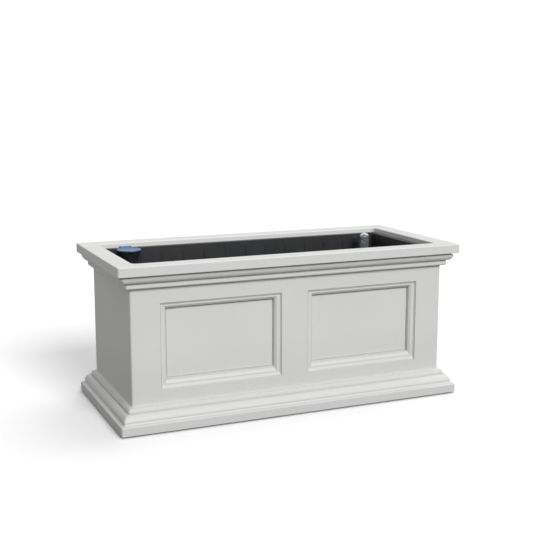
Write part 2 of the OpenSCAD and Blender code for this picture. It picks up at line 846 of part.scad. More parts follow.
module clip_screws() {
    head = tub_rear - plate_t - clip_head_t;
    color("silver") for (x = [-tube_x, tube_x], s = [-1, 1]) {
        rod_y(x + s * clip_screw_x, clip_z, head, head + clip_head_t, 2 * clip_screw_r);
        rod_y(x + s * clip_screw_x, clip_z, head, tub_rear + tub_wall, clip_screw_r);
    }
}

module level_tube() {
    color(dark_grey) translate([tube_x, tube_y, 0]) difference() {
        union() {
            translate([0, 0, gauge_low]) cylinder(h = gauge_top - gauge_low, r = gauge_r);
            translate([0, 0, deck_top]) cylinder(h = flange_t, r = gauge_r + collar_w);
        }
        translate([0, 0, gauge_low + stop_t])
            cylinder(h = gauge_top - gauge_low, r = gauge_bore);
        translate([0, 0, gauge_low - past]) cylinder(h = stop_t + 2 * past, r = gauge_bore - stop_w);
        translate([-gauge_r - past, -vent_w / 2, vent_low])
            cube([2 * (gauge_r + past), vent_w, vent_high - vent_low]);
    }
}

module level_bezel() {
    outer = gauge_r + bezel_w;
    grip = gauge_r + snug;
    color(black) translate([tube_x, tube_y, 0]) rotate_extrude() polygon([
        [grip, gauge_top - bezel_h], [outer, gauge_top - bezel_h],
        [outer, gauge_top + bezel_seat + bezel_h], [grip, gauge_top + bezel_seat + bezel_h],
        [grip, gauge_top + bezel_seat], [gauge_bore, gauge_top + bezel_seat],
        [gauge_bore, gauge_top], [grip, gauge_top]]);
}

module level_window() {
    low = gauge_top + bezel_seat;
    color([0.85, 0.9, 0.92, 0.5]) translate([tube_x, tube_y, 0]) difference() {
        union() {
            translate([0, 0, low]) cylinder(h = dome_z - low, r = gauge_r);
            translate([0, 0, dome_z]) sphere(gauge_r);
        }
        translate([0, 0, low - past]) cylinder(h = dome_z - low + past, r = gauge_bore);
        translate([0, 0, dome_z]) sphere(gauge_bore);
    }
}

module level_float() {
    color([0.92, 0.9, 0.85]) translate([tube_x, tube_y, float_z]) difference() {
        cylinder(h = float_h, r = float_r);
        translate([0, 0, float_h - rod_grip]) cylinder(h = rod_grip + past, r = rod_r + snug);
    }
}

module float_rod() {
    low = float_z + float_h - rod_grip;
    color("silver") translate([tube_x, tube_y, low])
        cylinder(h = marker_z + rod_grip - low, r = rod_r);
}

module level_marker() {
    color([0.78, 0.12, 0.1]) translate([tube_x, tube_y, marker_z]) difference() {
        cylinder(h = marker_h, r = gauge_bore - marker_gap);
        translate([0, 0, -past]) cylinder(h = rod_grip + past, r = rod_r + snug);
    }
}

outer_shell();
foot_front_left();
foot_front_right();
foot_rear_left();
foot_rear_right();
foot_screws();
overflow_fitting();
overflow_gasket();
overflow_nut();
overflow_screen();
drain_bushing();
drain_locknut();
plug_seal();
drain_plug();
inner_tub();
soil_deck();
wick_basket_left();
wick_basket_middle();
wick_basket_right();
fill_tube();
fill_funnel();
fill_tube_clip();
fill_cap();
cap_hinge_pin();
level_tube();
level_tube_clip();
level_bezel();
level_window();
level_float();
float_rod();
level_marker();
clip_screws();
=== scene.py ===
import json
from math import cos, hypot, pi, radians, sin

import bmesh
import bpy
from mathutils import Matrix, Vector


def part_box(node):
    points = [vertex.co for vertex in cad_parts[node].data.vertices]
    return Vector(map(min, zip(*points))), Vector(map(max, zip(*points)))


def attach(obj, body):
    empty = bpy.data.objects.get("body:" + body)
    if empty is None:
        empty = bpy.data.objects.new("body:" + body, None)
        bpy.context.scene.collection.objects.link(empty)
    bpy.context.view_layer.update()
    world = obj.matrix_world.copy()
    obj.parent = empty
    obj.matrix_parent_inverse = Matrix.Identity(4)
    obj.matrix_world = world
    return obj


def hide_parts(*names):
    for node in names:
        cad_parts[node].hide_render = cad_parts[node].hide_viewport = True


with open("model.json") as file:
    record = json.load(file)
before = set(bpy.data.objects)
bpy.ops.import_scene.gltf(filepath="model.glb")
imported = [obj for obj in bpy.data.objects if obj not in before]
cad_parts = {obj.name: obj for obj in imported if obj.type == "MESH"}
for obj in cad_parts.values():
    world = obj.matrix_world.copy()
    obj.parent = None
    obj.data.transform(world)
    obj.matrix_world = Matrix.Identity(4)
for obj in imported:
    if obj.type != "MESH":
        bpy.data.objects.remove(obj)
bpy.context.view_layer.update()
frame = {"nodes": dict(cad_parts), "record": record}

record = frame["record"]
bodyOfNode = {node: body for body, nodes in record["behaviour"]["bodies"].items() for node in nodes}
scene = bpy.context.scene
mmPerMetre = 1000
sharpFrom = 32   # degrees between two faces, from which their edge is drawn sharp
print("frame loaded:", len(frame["nodes"]), "nodes")


# A piece's values, read as shell.wall
class Values(dict):
    __getattr__ = dict.__getitem__


# A node's lowest and highest corners, in mm. All shapes below are made in mm
def cornersOf(node):
    low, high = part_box(node)
    return Vector(low) * mmPerMetre, Vector(high) * mmPerMetre


def middleOf(node):
    low, high = cornersOf(node)
    return (low + high) / 2


# Shape tools

def arc(across, up, wide, tall, start, end, steps):
    turns = [radians(start + (end - start) * i / steps) for i in range(steps + 1)]
    return [(across + wide * cos(turn), up + tall * sin(turn)) for turn in turns]


# Draws a curve's points nearer to the straight line between its ends
def flatten(curve, share):
    (x0, z0), (x1, z1) = curve[0], curve[-1]
    last = len(curve) - 1
    return [(x + (x0 + (x1 - x0) * i / last - x) * share, z + (z0 + (z1 - z0) * i / last - z) * share)
            for i, (x, z) in enumerate(curve)]


# Sweeps a section round a rectangle with rounded corners. A ring is (set-back, height, corner radius)
def ringSweep(rings, halfX, halfY, steps=6, closed=False):
    shape = bmesh.new()
    place = shape.verts.layers.int.new("place")
    bmesh.ops.create_circle(shape, cap_ends=not closed, segments=4 * (steps + 1), radius=1)
    for index, vert in enumerate(shape.verts):
        vert[place] = index
    verts, edges = shape.verts[:], shape.edges[:]
    for number, (setBack, height, radius) in enumerate(rings):
        if number:
            grown = bmesh.ops.extrude_edge_only(shape, edges=edges)["geom"]
            verts = [item for item in grown if isinstance(item, bmesh.types.BMVert)]
            edges = [item for item in grown if isinstance(item, bmesh.types.BMEdge) and item.is_boundary]
        for vert in verts:
            corner, step = divmod(vert[place], steps + 1)
            turn = radians(90 * (corner + step / steps))
            sideX, sideY = (1, -1, -1, 1)[corner], (1, 1, -1, -1)[corner]
            vert.co = (sideX * (halfX - setBack - radius) + radius * cos(turn),
                       sideY * (halfY - setBack - radius) + radius * sin(turn), height)
    if closed:
        bmesh.ops.remove_doubles(shape, verts=shape.verts, dist=0.001)
    else:
        bmesh.ops.edgeloop_fill(shape, edges=edges)
    bmesh.ops.recalc_face_normals(shape, faces=shape.faces)
    return shape


# A rounded block between two corners; the radius rounds its upright edges
def block(low, high, radius=0.3):
    halfX, halfY = (high[0] - low[0]) / 2, (high[1] - low[1]) / 2
    shape = ringSweep([(0, low[2], radius), (0, high[2], radius)], halfX, halfY)
    return shift(shape, (low[0] + halfX, low[1] + halfY, 0))


# A rod's section with its ends eased
def easedRod(radius, low, high, ease):
    return [(0, low), (radius - ease, low), (radius, low + ease), (radius, high - ease),
            (radius - ease, high), (0, high)]


# Turns a section, a list of (radius, height), about the upright axis
def lathe(section, steps=48):
    shape = bmesh.new()
    verts = [shape.verts.new((radius, 0, height)) for radius, height in section]
    ends = verts[1:] if section[0][0] == section[-1][0] == 0 else verts[1:] + verts[:1]
    edges = [shape.edges.new(pair) for pair in zip(verts, ends)]
    bmesh.ops.spin(shape, geom=verts + edges, axis=(0, 0, 1), angle=2 * pi, steps=steps, use_merge=True)
    bmesh.ops.remove_doubles(shape, verts=shape.verts, dist=0.0001)
    bmesh.ops.recalc_face_normals(shape, faces=shape.faces)
    return shape


def rod(radius, low, high, steps=48):
    return lathe([(0, low), (radius, low), (radius, high), (0, high)], steps)


def shift(shape, offset):
    bmesh.ops.translate(shape, verts=shape.verts, vec=offset)
    return shape


def turned(shape, angle, axis):
    bmesh.ops.rotate(shape, verts=shape.verts, matrix=Matrix.Rotation(radians(angle), 3, axis))
    return shape


# Lays an upright shape along +X, as the cap's hinge lies
def alongX(shape, y, z):
    return shift(turned(shape, 90, "Y"), (0, y, z))


# Lays an upright shape along +Y, as the fittings in the rear wall lie
def alongY(shape, x, z):
    return shift(turned(shape, -90, "X"), (x, 0, z))


def inWall(shape, node):
    place = middleOf(node)
    return alongY(shape, place.x, place.z)


# Stands a shape from round the upright axis over a node's middle
def standAt(shape, node):
    place = middleOf(node)
    return shift(shape, (place.x, place.y, 0))


def gather(shapes):
    whole = bmesh.new()
    for shape in shapes:
        mesh = bpy.data.meshes.new("gathered")
        shape.to_mesh(mesh)
        shape.free()
        whole.from_mesh(mesh)
        bpy.data.meshes.remove(mesh)
    return whole


# Cuts one solid with another, or joins them; both are used up
def solve(base, operation, tool):
    solids = []
    for shape in (base, tool):
        mesh = bpy.data.meshes.new("solving")
        shape.to_mesh(mesh)
        shape.free()
        solids.append(bpy.data.objects.new("solving", mesh))
        scene.collection.objects.link(solids[-1])
    step = solids[0].modifiers.new("solve", "BOOLEAN")
    step.operation, step.object, step.solver = operation, solids[1], "EXACT"
    whole = bmesh.new()
    whole.from_object(solids[0], bpy.context.evaluated_depsgraph_get())
    for solid in solids:
        mesh = solid.data
        bpy.data.objects.remove(solid)
        bpy.data.meshes.remove(mesh)
    bmesh.ops.remove_doubles(whole, verts=whole.verts, dist=0.002)
    return whole


def cut(base, *tools):
    for tool in tools:
        base = solve(base, "DIFFERENCE", tool)
    return base


def join(base, *tools):
    for tool in tools:
        base = solve(base, "UNION", tool)
    return base


# Rounds every edge sharper than the limit that the test lets through
def soften(shape, radius, segments=2, limit=27, test=None, clamp=True):
    sharp = [edge for edge in shape.edges if edge.is_manifold
             and edge.calc_face_angle() > radians(limit) and (test is None or test(edge))]
    bmesh.ops.bevel(shape, geom=sharp, offset=radius, offset_type="OFFSET", segments=segments,
                    profile=0.5, affect="EDGES", clamp_overlap=clamp, material=-1)
    return shape


def divide(shape, point, normal):
    bmesh.ops.bisect_plane(shape, geom=shape.verts[:] + shape.edges[:] + shape.faces[:],
                           plane_co=point, plane_no=normal)


# Makes the finished piece in metres in place of its node, and names it after that: outerShell for outer_shell
def makePiece(node, shape, material, name=None):
    words = node.title().replace("_", "")
    name = name or words[0].lower() + words[1:]
    bmesh.ops.scale(shape, vec=[1 / mmPerMetre] * 3, verts=shape.verts)
    mesh = bpy.data.meshes.new(name)
    shape.to_mesh(mesh)
    shape.free()
    mesh.shade_smooth()
    mesh.set_sharp_from_angle(angle=radians(sharpFrom))
    mesh.materials.append(material)
    piece = bpy.data.objects.new(name, mesh)
    scene.collection.objects.link(piece)
    evenNormals = piece.modifiers.new("even normals", "WEIGHTED_NORMAL")
    evenNormals.keep_sharp = True
    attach(piece, bodyOfNode[node])
    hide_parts(node)


# Materials

def linear(hexColour):
    parts = [int(hexColour[i:i + 2], 16) / 255 for i in (1, 3, 5)]
    return [p / 12.92 if p <= 0.04045 else ((p + 0.055) / 1.055) ** 2.4 for p in parts] + [1]


# Adds a node; its inputs are numbers, colours, other nodes (their first output) or any other output
def addNode(tree, kind, inputs=None, **settings):
    node = tree.nodes.new("ShaderNode" + kind)
    for name, value in settings.items():
        setattr(node, name, value)
    for name, value in (inputs or {}).items():
        value = value.outputs[0] if isinstance(value, bpy.types.Node) else value
        if isinstance(value, bpy.types.NodeSocket):
            tree.links.new(value, node.inputs[name])
        else:
            node.inputs[name].default_value = value
    return node


# A new material with its tree and the piece's own coordinates, in metres
def startMaterial(name):
    material = bpy.data.materials.new(name)
    material.use_nodes = True
    tree = material.node_tree
    tree.nodes.clear()
    return material, tree, addNode(tree, "TexCoord").outputs["Object"]


def finishMaterial(material, inputs):
    skin = addNode(material.node_tree, "BsdfPrincipled", inputs)
    addNode(material.node_tree, "OutputMaterial", {"Surface": skin})
    return material


# A pattern's size in mm, as a texture scale over coordinates in metres
def perMm(size):
    return mmPerMetre / size


def rotomouldedPolyethylene():
    # Powder fused in a turning mould: a dry satin skin, slow waves in the walls, faint drifts of tone
    material, tree, place = startMaterial("rotomouldedPolyethylene")
    drift = addNode(tree, "TexNoise", {"Vector": place, "Scale": perMm(150), "Detail": 2.0})
    tone = addNode(tree, "Mix", {0: drift, 6: linear("#cfcfce"), 7: linear("#d4d4d2")},
                   data_type="RGBA")
    # Specks of the powder are a tenth of a millimetre, drawn ten times as coarse to show at all
    speck = addNode(tree, "TexVoronoi", {"Vector": place, "Scale": perMm(1.1)})
    speckle = addNode(tree, "MapRange", {"Value": speck.outputs["Distance"], "From Min": 0.05,
                                         "From Max": 0.5, "To Min": 0.985, "To Max": 1.005})
    # Painted shade: the colour darkens towards the ground, standing in for the shade on the lower walls
    height = addNode(tree, "SeparateXYZ", {"Vector": place})
    paintedShadeLow = addNode(tree, "MapRange", {"Value": height.outputs["Z"], "From Min": 0.09, "From Max": 0.21,
                                      "To Min": 0.93, "To Max": 1.0}, interpolation_type="SMOOTHSTEP")
    # The specks and the painted shade low on the walls darken the tone together
    shade = addNode(tree, "Math", {0: speckle, 1: paintedShadeLow}, operation="MULTIPLY")
    colour = addNode(tree, "VectorMath", {0: tone.outputs[2], 1: shade}, operation="MULTIPLY")
    matte = addNode(tree, "MapRange", {"Value": drift, "To Min": 0.5, "To Max": 0.62})
    grain = addNode(tree, "TexNoise", {"Vector": place, "Scale": perMm(1.6), "Detail": 3.0})
    wave = addNode(tree, "TexNoise", {"Vector": place, "Scale": perMm(55), "Detail": 1.0})
    waves = addNode(tree, "Bump", {"Height": wave, "Strength": 0.35, "Distance": 0.0012})
    pebbles = addNode(tree, "Bump", {"Height": grain, "Strength": 0.3, "Distance": 0.00012,
                                     "Normal": waves})
    return finishMaterial(material, {"Base Color": colour, "Roughness": matte,
                                     "Normal": pebbles, "IOR": 1.51})


# A plastic or rubber with two near tones in broad patches and a fine grain; sizes and depth are in mm.
# A mould's own grain is about 0.1 mm, drawn some ten times as coarse so that it shows
def mouldedSkin(name, dark, light, roughness, grainSize, depth, patch=40, stretch=(1, 1, 1), **inputs):
    material, tree, place = startMaterial(name)
    drawn = addNode(tree, "Mapping", {"Vector": place, "Scale": stretch})
    flow = addNode(tree, "TexNoise", {"Vector": drawn, "Scale": perMm(patch), "Detail": 3.0})
    tone = addNode(tree, "Mix", {0: flow, 6: linear(dark), 7: linear(light)}, data_type="RGBA")
    matte = addNode(tree, "MapRange", {"Value": flow, "To Min": roughness - 0.07,
                                       "To Max": roughness + 0.07})
    grain = addNode(tree, "TexVoronoi", {"Vector": drawn, "Scale": perMm(grainSize)}, feature="SMOOTH_F1")
    bump = addNode(tree, "Bump", {"Height": grain.outputs["Distance"], "Strength": 0.5,
                                  "Distance": depth / mmPerMetre})
    return finishMaterial(material, {"Base Color": tone.outputs[2], "Roughness": matte,
                                     "Normal": bump, **inputs})


def clearStyrene():
    # Clear moulded styrene: a hard bright skin, a faint cool body and light wear
    material, tree, place = startMaterial("mouldedClearStyrene")
    haze = addNode(tree, "TexNoise", {"Vector": place, "Scale": perMm(14), "Detail": 4.0})
    wear = addNode(tree, "MapRange", {"Value": haze, "To Min": 0.04, "To Max": 0.16})
    tint = addNode(tree, "Mix", {0: haze, 6: linear("#dfe6e8"), 7: linear("#eef2f2")},
                   data_type="RGBA")
    return finishMaterial(material, {"Base Color": tint.outputs[2], "Roughness": wear,
                                     "IOR": 1.59, "Transmission Weight": 0.92})


def closedCellFoam():
    # Polystyrene beads fused in a mould: rounded cells with darker seams between
    material, tree, place = startMaterial("fusedPolystyreneFoam")
    bead = addNode(tree, "TexVoronoi", {"Vector": place, "Scale": perMm(2.4)})
    seam = addNode(tree, "MapRange", {"Value": bead.outputs["Distance"], "From Min": 0.3, "From Max": 0.75})
    tone = addNode(tree, "Mix", {0: seam, 6: linear("#e9e6dc"), 7: linear("#c9c5b8")},
                   data_type="RGBA")
    dome = addNode(tree, "Bump", {"Height": bead.outputs["Distance"], "Strength": 0.6, "Distance": 0.0003},
                   invert=True)
    return finishMaterial(material, {"Base Color": tone.outputs[2], "Normal": dome,
                                     "Roughness": 0.85, "IOR": 1.5})


def stainlessSteel():
    # Cold-headed stainless steel: a bright metal, drawn lightly and dulled where it has been handled
    material, tree, place = startMaterial("coldHeadedStainlessSteel")
    drawn = addNode(tree, "Mapping", {"Vector": place, "Scale": (1, 1, 14)})
    fine = addNode(tree, "TexNoise", {"Vector": drawn, "Scale": perMm(6), "Detail": 4.0})
    tone = addNode(tree, "Mix", {0: fine, 6: linear("#a9abad"), 7: linear("#c6c7c6")},
                   data_type="RGBA")
    matte = addNode(tree, "MapRange", {"Value": fine, "To Min": 0.24, "To Max": 0.42})
    lines = addNode(tree, "Bump", {"Height": fine, "Strength": 0.2, "Distance": 0.00003})
    return finishMaterial(material, {"Base Color": tone.outputs[2], "Roughness": matte,
                                     "Normal": lines, "Metallic": 1.0})


# Vacuum-formed sheet: an even low sheen, with the mould's fine grain and a greyer tone where it stretched
tubSkin = mouldedSkin("vacuumFormedPolystyrene", "#191a1c", "#212325", 0.46, 0.8, 0.05, IOR=1.55)
# Injection-moulded polypropylene: waxy, spark-eroded grain, broad flow marks
deckSkin = mouldedSkin("mouldedPolypropyleneDeck", "#36393c", "#44474a", 0.52, 1.0, 0.07, IOR=1.49)
# The same plastic in black, a little shinier on the thin walls
basketSkin = mouldedSkin("mouldedPolypropyleneBasket", "#1d1e20", "#292b2d", 0.5, 1.0, 0.06, IOR=1.49)
# Extruded rigid vinyl: smooth, with long faint die lines up the tube
tubeSkin = mouldedSkin("extrudedVinylTube", "#4c5053", "#5b5f62", 0.38, 1.6, 0.03, 60, (1, 1, 0.08), IOR=1.53)
# Moulded nylon fittings: harder and glossier, nearly black
fittingSkin = mouldedSkin("mouldedNylonFitting", "#17181a", "#222427", 0.4, 0.7, 0.04, 25, IOR=1.53)
# The blue cap that marks where the water goes in: smooth moulded polypropylene with a soft shine
capSkin = mouldedSkin("mouldedPolypropyleneCap", "#3d5f86", "#47698f", 0.42, 0.8, 0.04, 30, IOR=1.49)
# The plug's dark grey polypropylene, scuffed by hands
plugSkin = mouldedSkin("mouldedPolypropylenePlug", "#2f3234", "#3a3d40", 0.42, 0.8, 0.05, 25, IOR=1.49)
# Dyed acetal: dense, slippery and clean, the brightest colour on the gauge
markerRed = mouldedSkin("mouldedAcetalMarker", "#a02320", "#b32c26", 0.35, 0.7, 0.02, 20, IOR=1.48)
# Moulded silicone: soft and dull with a little bloom on the surface
sealSkin = mouldedSkin("mouldedSiliconeSeal", "#7c2a20", "#8c3427", 0.6, 1.2, 0.05, 15, IOR=1.41)
# Foamed rubber, die cut: open pores on a matt black
gasketSkin = mouldedSkin("dieCutFoamRubberGasket", "#232426", "#303234", 0.8, 0.9, 0.12, 12, IOR=1.52)
# Compression-moulded rubber: matt, coarse grain, a trace of dust
rubber = mouldedSkin("mouldedRubberFoot", "#161718", "#212223", 0.72, 1.3, 0.15, 25, IOR=1.52)
windowClear, foam, steel = clearStyrene(), closedCellFoam(), stainlessSteel()
footNodes = [node for node in bodyOfNode if node.startswith("foot_") and node != "foot_screws"]
print("materials ready")

# The moulded shell

shell = Values({
    "wall": 4.5, "corner": 5, "easing": 2.2, "underEasing": 1, "body": 35.5, "fillet": 0.6, "quirk": (2, 1.8),
    "plinth": 22, "ledge": 8.5, "ledgeRise": 2, "riser": 5, "riserLean": 1.8, "baseOvolo": (12, 17),
    "ovoloFoot": 2.4, "ovoloFlat": 0.45, "bandStep": 2.5, "band": 11.5, "bandRound": 1.2, "bandLean": 3,
    "bandSplit": 7.5, "bandCove": (1, 0.4, 0.6), "wash": 2.5, "bead": 14, "beadRound": 4, "beadStep": 1.5,
    "crownOvolo": (12, 15), "drop": 5, "dropBack": 4, "lip": 10, "slab": 23,
    "panelWidth": 313.5, "panelMiddle": 192.25, "lowerRail": 31.5, "upperRail": 39, "panelFillet": 0.5,
    # Each step of a panel is (side, top, bottom, depth), from the wall face inwards. A deep narrow step with
    # a flat one and a rise after it is a groove between two mouldings
    "frame": ((0.2, 0.2, 0.2, 3.6), (1.6, 2.1, 1.6, 0), (0.2, 0.2, 0.2, -1.4), (1.5, 1.7, 8, 3.3),
              (8, 4.8, 3.3, 0), (4.9, 5.5, 7, 4.5)),
    "field": ((1.5, 1, 1.5, 9.5), (1.7, 2.5, 1.4, 0), (0.3, 0.3, 0.3, -2.5)), "sillFlat": 3, "panelReach": 20,
    "rim": 48, "seatDrop": 15, "seat": 12, "mouthCorner": 14, "mouthRound": 3,
    "alcoveHalf": 38, "alcoveHeight": 54, "alcoveCorner": 0.2, "hollowCorner": 1.5, "hollowRound": 2,
    "bossRadius": 7, "bossTop": 18.5, "screwHole": 2.05, "pocket": 2.5, "pocketGap": 0.3, "footCorner": 8,
})
through = 5   # how far a cutting tool goes past a wall


# Heights and set-backs where the mouldings meet, from the bottom up
def shellMarks(low, high):
    s = shell
    plinthTop = low + s.plinth
    ovoloLow = plinthTop + s.ledgeRise + s.riser
    bandLow = ovoloLow + s.baseOvolo[1]
    slabLow = high - s.slab
    crownHigh = slabLow - s.drop
    beadHigh = crownHigh - s.crownOvolo[1]
    ovoloBack, crownBack = s.ledge + s.baseOvolo[0], s.lip + s.crownOvolo[0]
    return Values(plinthTop=plinthTop, ovoloLow=ovoloLow, ovoloBack=ovoloBack, bandLow=bandLow,
                  bandTop=bandLow + s.band, bandBack=ovoloBack + s.bandStep, beadLow=beadHigh - s.bead,
                  beadHigh=beadHigh, beadBack=crownBack + s.beadStep, crownHigh=crownHigh,
                  crownBack=crownBack, dropBack=s.lip + s.dropBack, slabLow=slabLow)


# Both sections are lists of (set-back, height) from the bottom up
def outerSection(low, high):
    s, m = shell, shellMarks(low, high)
    e, u, r, b = s.easing, s.underEasing, s.bandRound, s.beadRound
    tall, deep = s.quirk
    wide, high0 = s.baseOvolo
    foot = s.ovoloFoot
    baseOvolo = arc(m.ovoloBack, m.ovoloLow + foot, wide, high0 - foot, 180, 90, 8)
    split, bandEdge = m.bandLow + s.bandSplit, m.bandBack + s.bandLean
    coveBack, coveEdge, coveRise = s.bandCove
    return [*arc(u, low + u, u, u, 270, 180, 4), *arc(e, m.plinthTop - e, e, e, 180, 90, 4),
            (s.ledge, m.plinthTop + s.ledgeRise), (s.ledge + s.riserLean, m.ovoloLow),
            (s.ledge, m.ovoloLow), *flatten(baseOvolo, s.ovoloFlat),
            (m.bandBack + deep, m.bandLow), (m.bandBack + deep, m.bandLow + tall),
            (m.bandBack, m.bandLow + tall), (m.bandBack + coveBack, split),
            (bandEdge - coveEdge, split + coveRise),
            *arc(bandEdge + r, m.bandTop - r, r, r, 180, 90, 4), (s.body, m.bandTop + s.wash),
            (s.body, m.beadLow), *arc(m.beadBack + b, m.beadLow + b, b, b, 270, 180, 5),
            (m.beadBack, m.beadHigh - tall), (m.beadBack + deep, m.beadHigh - tall),
            (m.beadBack + deep, m.beadHigh), *arc(m.crownBack, m.crownHigh, *s.crownOvolo, 270, 180, 10),
            (m.dropBack, m.crownHigh), (m.dropBack, m.slabLow),
            *arc(u, m.slabLow + u, u, u, 270, 180, 4), *arc(e, high - e, e, e, 180, 90, 4)]


# The hollow runs one wall inside the outer section
def hollowSection(low, high):
    s, t, m = shell, shell.wall, shellMarks(low, high)
    baseRound = [size - t for size in s.baseOvolo]
    crownRound = (s.crownOvolo[0] - t, s.crownOvolo[1] - 2 * t)
    return [(t, low + t), (t, m.plinthTop - t), (s.ledge + t, m.plinthTop - t),
            *arc(m.ovoloBack, m.ovoloLow, *baseRound, 180, 90, 6), (m.bandBack + t, m.bandLow - t),
            (m.bandBack + t, m.bandTop - t), (s.body + t, m.bandTop - t), (s.body + t, m.beadLow + t),
            (m.beadBack + t, m.beadLow + t), (m.beadBack + t, m.beadHigh + t),
            *arc(m.crownBack, m.crownHigh - t, *crownRound, 270, 180, 6), (m.dropBack + t, m.crownHigh - t),
            (m.dropBack + t, m.slabLow + t), (t, m.slabLow + t), (t, high - t)]


# Sinks a framed panel into a wall face, whose outward side is -1 for the front and 1 for the back
def sinkPanel(shape, face, side):
    def step(face, across, above, below, depth):
        face = bmesh.ops.extrude_discrete_faces(shape, faces=[face])["faces"][0]
        centre = face.calc_center_bounds()
        for vert in face.verts:
            vert.co += Vector((across if vert.co.x < centre.x else -across, -side * depth,
                               below if vert.co.z < centre.z else -above))
        return face

    for sizes in shell.frame:
        face = step(face, *sizes)
    # The sill has a flat foot, and the field starts above it
    low = min(vert.co.z for vert in face.verts) + shell.sillFlat
    parts = bmesh.ops.bisect_plane(shape, geom=[face, *face.edges, *face.verts],
                                   plane_co=(0, 0, low), plane_no=(0, 0, 1))["geom"]
    face = max((item for item in parts if isinstance(item, bmesh.types.BMFace)),
               key=lambda item: item.calc_center_bounds().z)
    for sizes in shell.field:
        face = step(face, *sizes)


def outerShell():
    s, t = shell, shell.wall
    low, high = cornersOf("outer_shell")
    halfX, halfY = high.x, high.y
    wallY = halfY - s.body
    marks = shellMarks(low.z, high.z)
    panelLow, panelHigh = marks.bandTop + s.wash + s.lowerRail, marks.beadLow - s.upperRail
    halfPanel, middles = s.panelWidth / 2, (-s.panelMiddle, s.panelMiddle)

    outer = ringSweep([(k, z, s.corner) for k, z in outerSection(low.z, high.z)], halfX, halfY)
    for middle in middles:
        for edge in (-halfPanel, halfPanel):
            divide(outer, (middle + edge, 0, 0), (1, 0, 0))
    for height in (panelLow, panelHigh):
        divide(outer, (0, 0, height), (0, 0, 1))
    panels = []
    for face in outer.faces:
        centre = face.calc_center_bounds()
        if (abs(face.normal.y) > 0.99 and panelLow < centre.z < panelHigh
                and any(abs(centre.x - middle) < 1 for middle in middles)):
            panels.append((face, 1 if centre.y > 0 else -1))
    for face, side in panels:
        sinkPanel(outer, face, side)
    print("panels sunk:", len(panels))

    def inPanel(edge):
        return all(panelLow - 1 < vert.co.z < panelHigh + 1
                   and wallY - s.panelReach < abs(vert.co.y) < wallY + 1
                   and abs(abs(vert.co.x) - s.panelMiddle) < halfPanel + 1 for vert in edge.verts)

    soften(outer, s.panelFillet, limit=20, test=inPanel, clamp=False)
    soften(outer, s.fillet, test=lambda edge: not inPanel(edge), clamp=False)

    # What stays solid inside: walls round the panels and the alcove, the seat's rim, and the feet's bosses
    recess = sum(step[3] for step in (*s.frame, *s.field))
    inside = [block((middle - halfPanel - t, side * wallY - recess - t, panelLow - t),
                    (middle + halfPanel + t, side * wallY + recess + t, panelHigh + t), s.hollowRound)
              for middle in middles for side in (-1, 1)]
    outlet, alcoveHigh = middleOf("drain_bushing"), low.z + s.alcoveHeight
    inside.append(block((outlet.x - s.alcoveHalf - t, wallY - t, low.z - through),
                        (outlet.x + s.alcoveHalf + t, halfY + through, alcoveHigh + t), s.hollowRound))
    rimOuter, seatHigh, corner = s.rim - t, high.z - s.seatDrop, s.mouthCorner
    inside.append(ringSweep([(rimOuter, z, corner + t) for z in (seatHigh - t, high.z)], halfX, halfY))
    feet = [cornersOf(node) for node in footNodes]
    for footLow, footHigh in feet:
        grow, middle = Vector((t, t, 0)), (footLow + footHigh) / 2
        inside.append(block(footLow - grow, Vector((footHigh.x, footHigh.y, low.z + s.pocket + t)) + grow,
                            s.footCorner + t))
        inside.append(shift(rod(s.bossRadius, low.z, s.bossTop, steps=32), (middle.x, middle.y, 0)))
    hollow = ringSweep([(k, z, s.hollowCorner) for k, z in hollowSection(low.z, high.z)], halfX, halfY)
    outer = cut(outer, cut(hollow, *inside))
    print("hollow cut")

    r, seatBack = s.mouthRound, s.rim + s.seat
    mouth = [(seatBack, seatHigh - t - 2), (seatBack, seatHigh), (s.rim, seatHigh),
             *arc(s.rim - r, high.z - r, r, r, 0, 90, 5), (s.rim - r, high.z + 2)]
    tools = [ringSweep([(k, z, corner) for k, z in mouth], halfX, halfY),
             block((outlet.x - s.alcoveHalf, wallY, low.z - through),
                   (outlet.x + s.alcoveHalf, halfY + through, alcoveHigh), s.alcoveCorner)]
    for node, radius in (("overflow_gasket", overflow.wallHole), ("drain_bushing", drain.wallHole)):
        tools.append(inWall(rod(radius, wallY - 2 * through, wallY + through), node))
    for footLow, footHigh in feet:
        gap, middle = Vector((s.pocketGap, s.pocketGap, 0)), (footLow + footHigh) / 2
        tools.append(block(footLow - gap, Vector((footHigh.x, footHigh.y, low.z + s.pocket)) + gap,
                           s.footCorner + s.pocketGap))
        tools.append(shift(rod(s.screwHole, 0, s.bossTop - 2, steps=24), (middle.x, middle.y, 0)))
    outer = cut(outer, *tools)
    print("shell done:", len(outer.faces), "faces")
    makePiece("outer_shell", outer, rotomouldedPolyethylene())


# The tub, its deck and the wick baskets

tub = Values({
    "wall": 3, "flange": 12, "ledge": 14, "corner": 13, "fillet": 0.8, "sideFlutes": range(-5, 6),
    "endFlutes": (-1.5, -0.5, 0.5, 1.5), "flutePitch": 60, "fluteProud": 1.5, "fluteHalf": 2, "fluteLow": 19,
    "fluteHigh": 14, "fluteRound": 0.9, "deck": 4, "deckGap": 1, "rib": 3, "ribBack": 3, "ribRound": 1.2,
    "slot": (24, 4), "slotPitch": (46, 30), "slotEdge": 4, "slotFlare": 0.7, "slotMouth": 0.3,
    "slotRound": (1.9, 2.2), "wellHalf": 55, "flangeHalf": 62, "tubeGap": 0.5, "collar": 5,
})
basketNodes = ["wick_basket_" + place for place in ("left", "middle", "right")]
clipNodes = ("fill_tube_clip", "level_tube_clip")


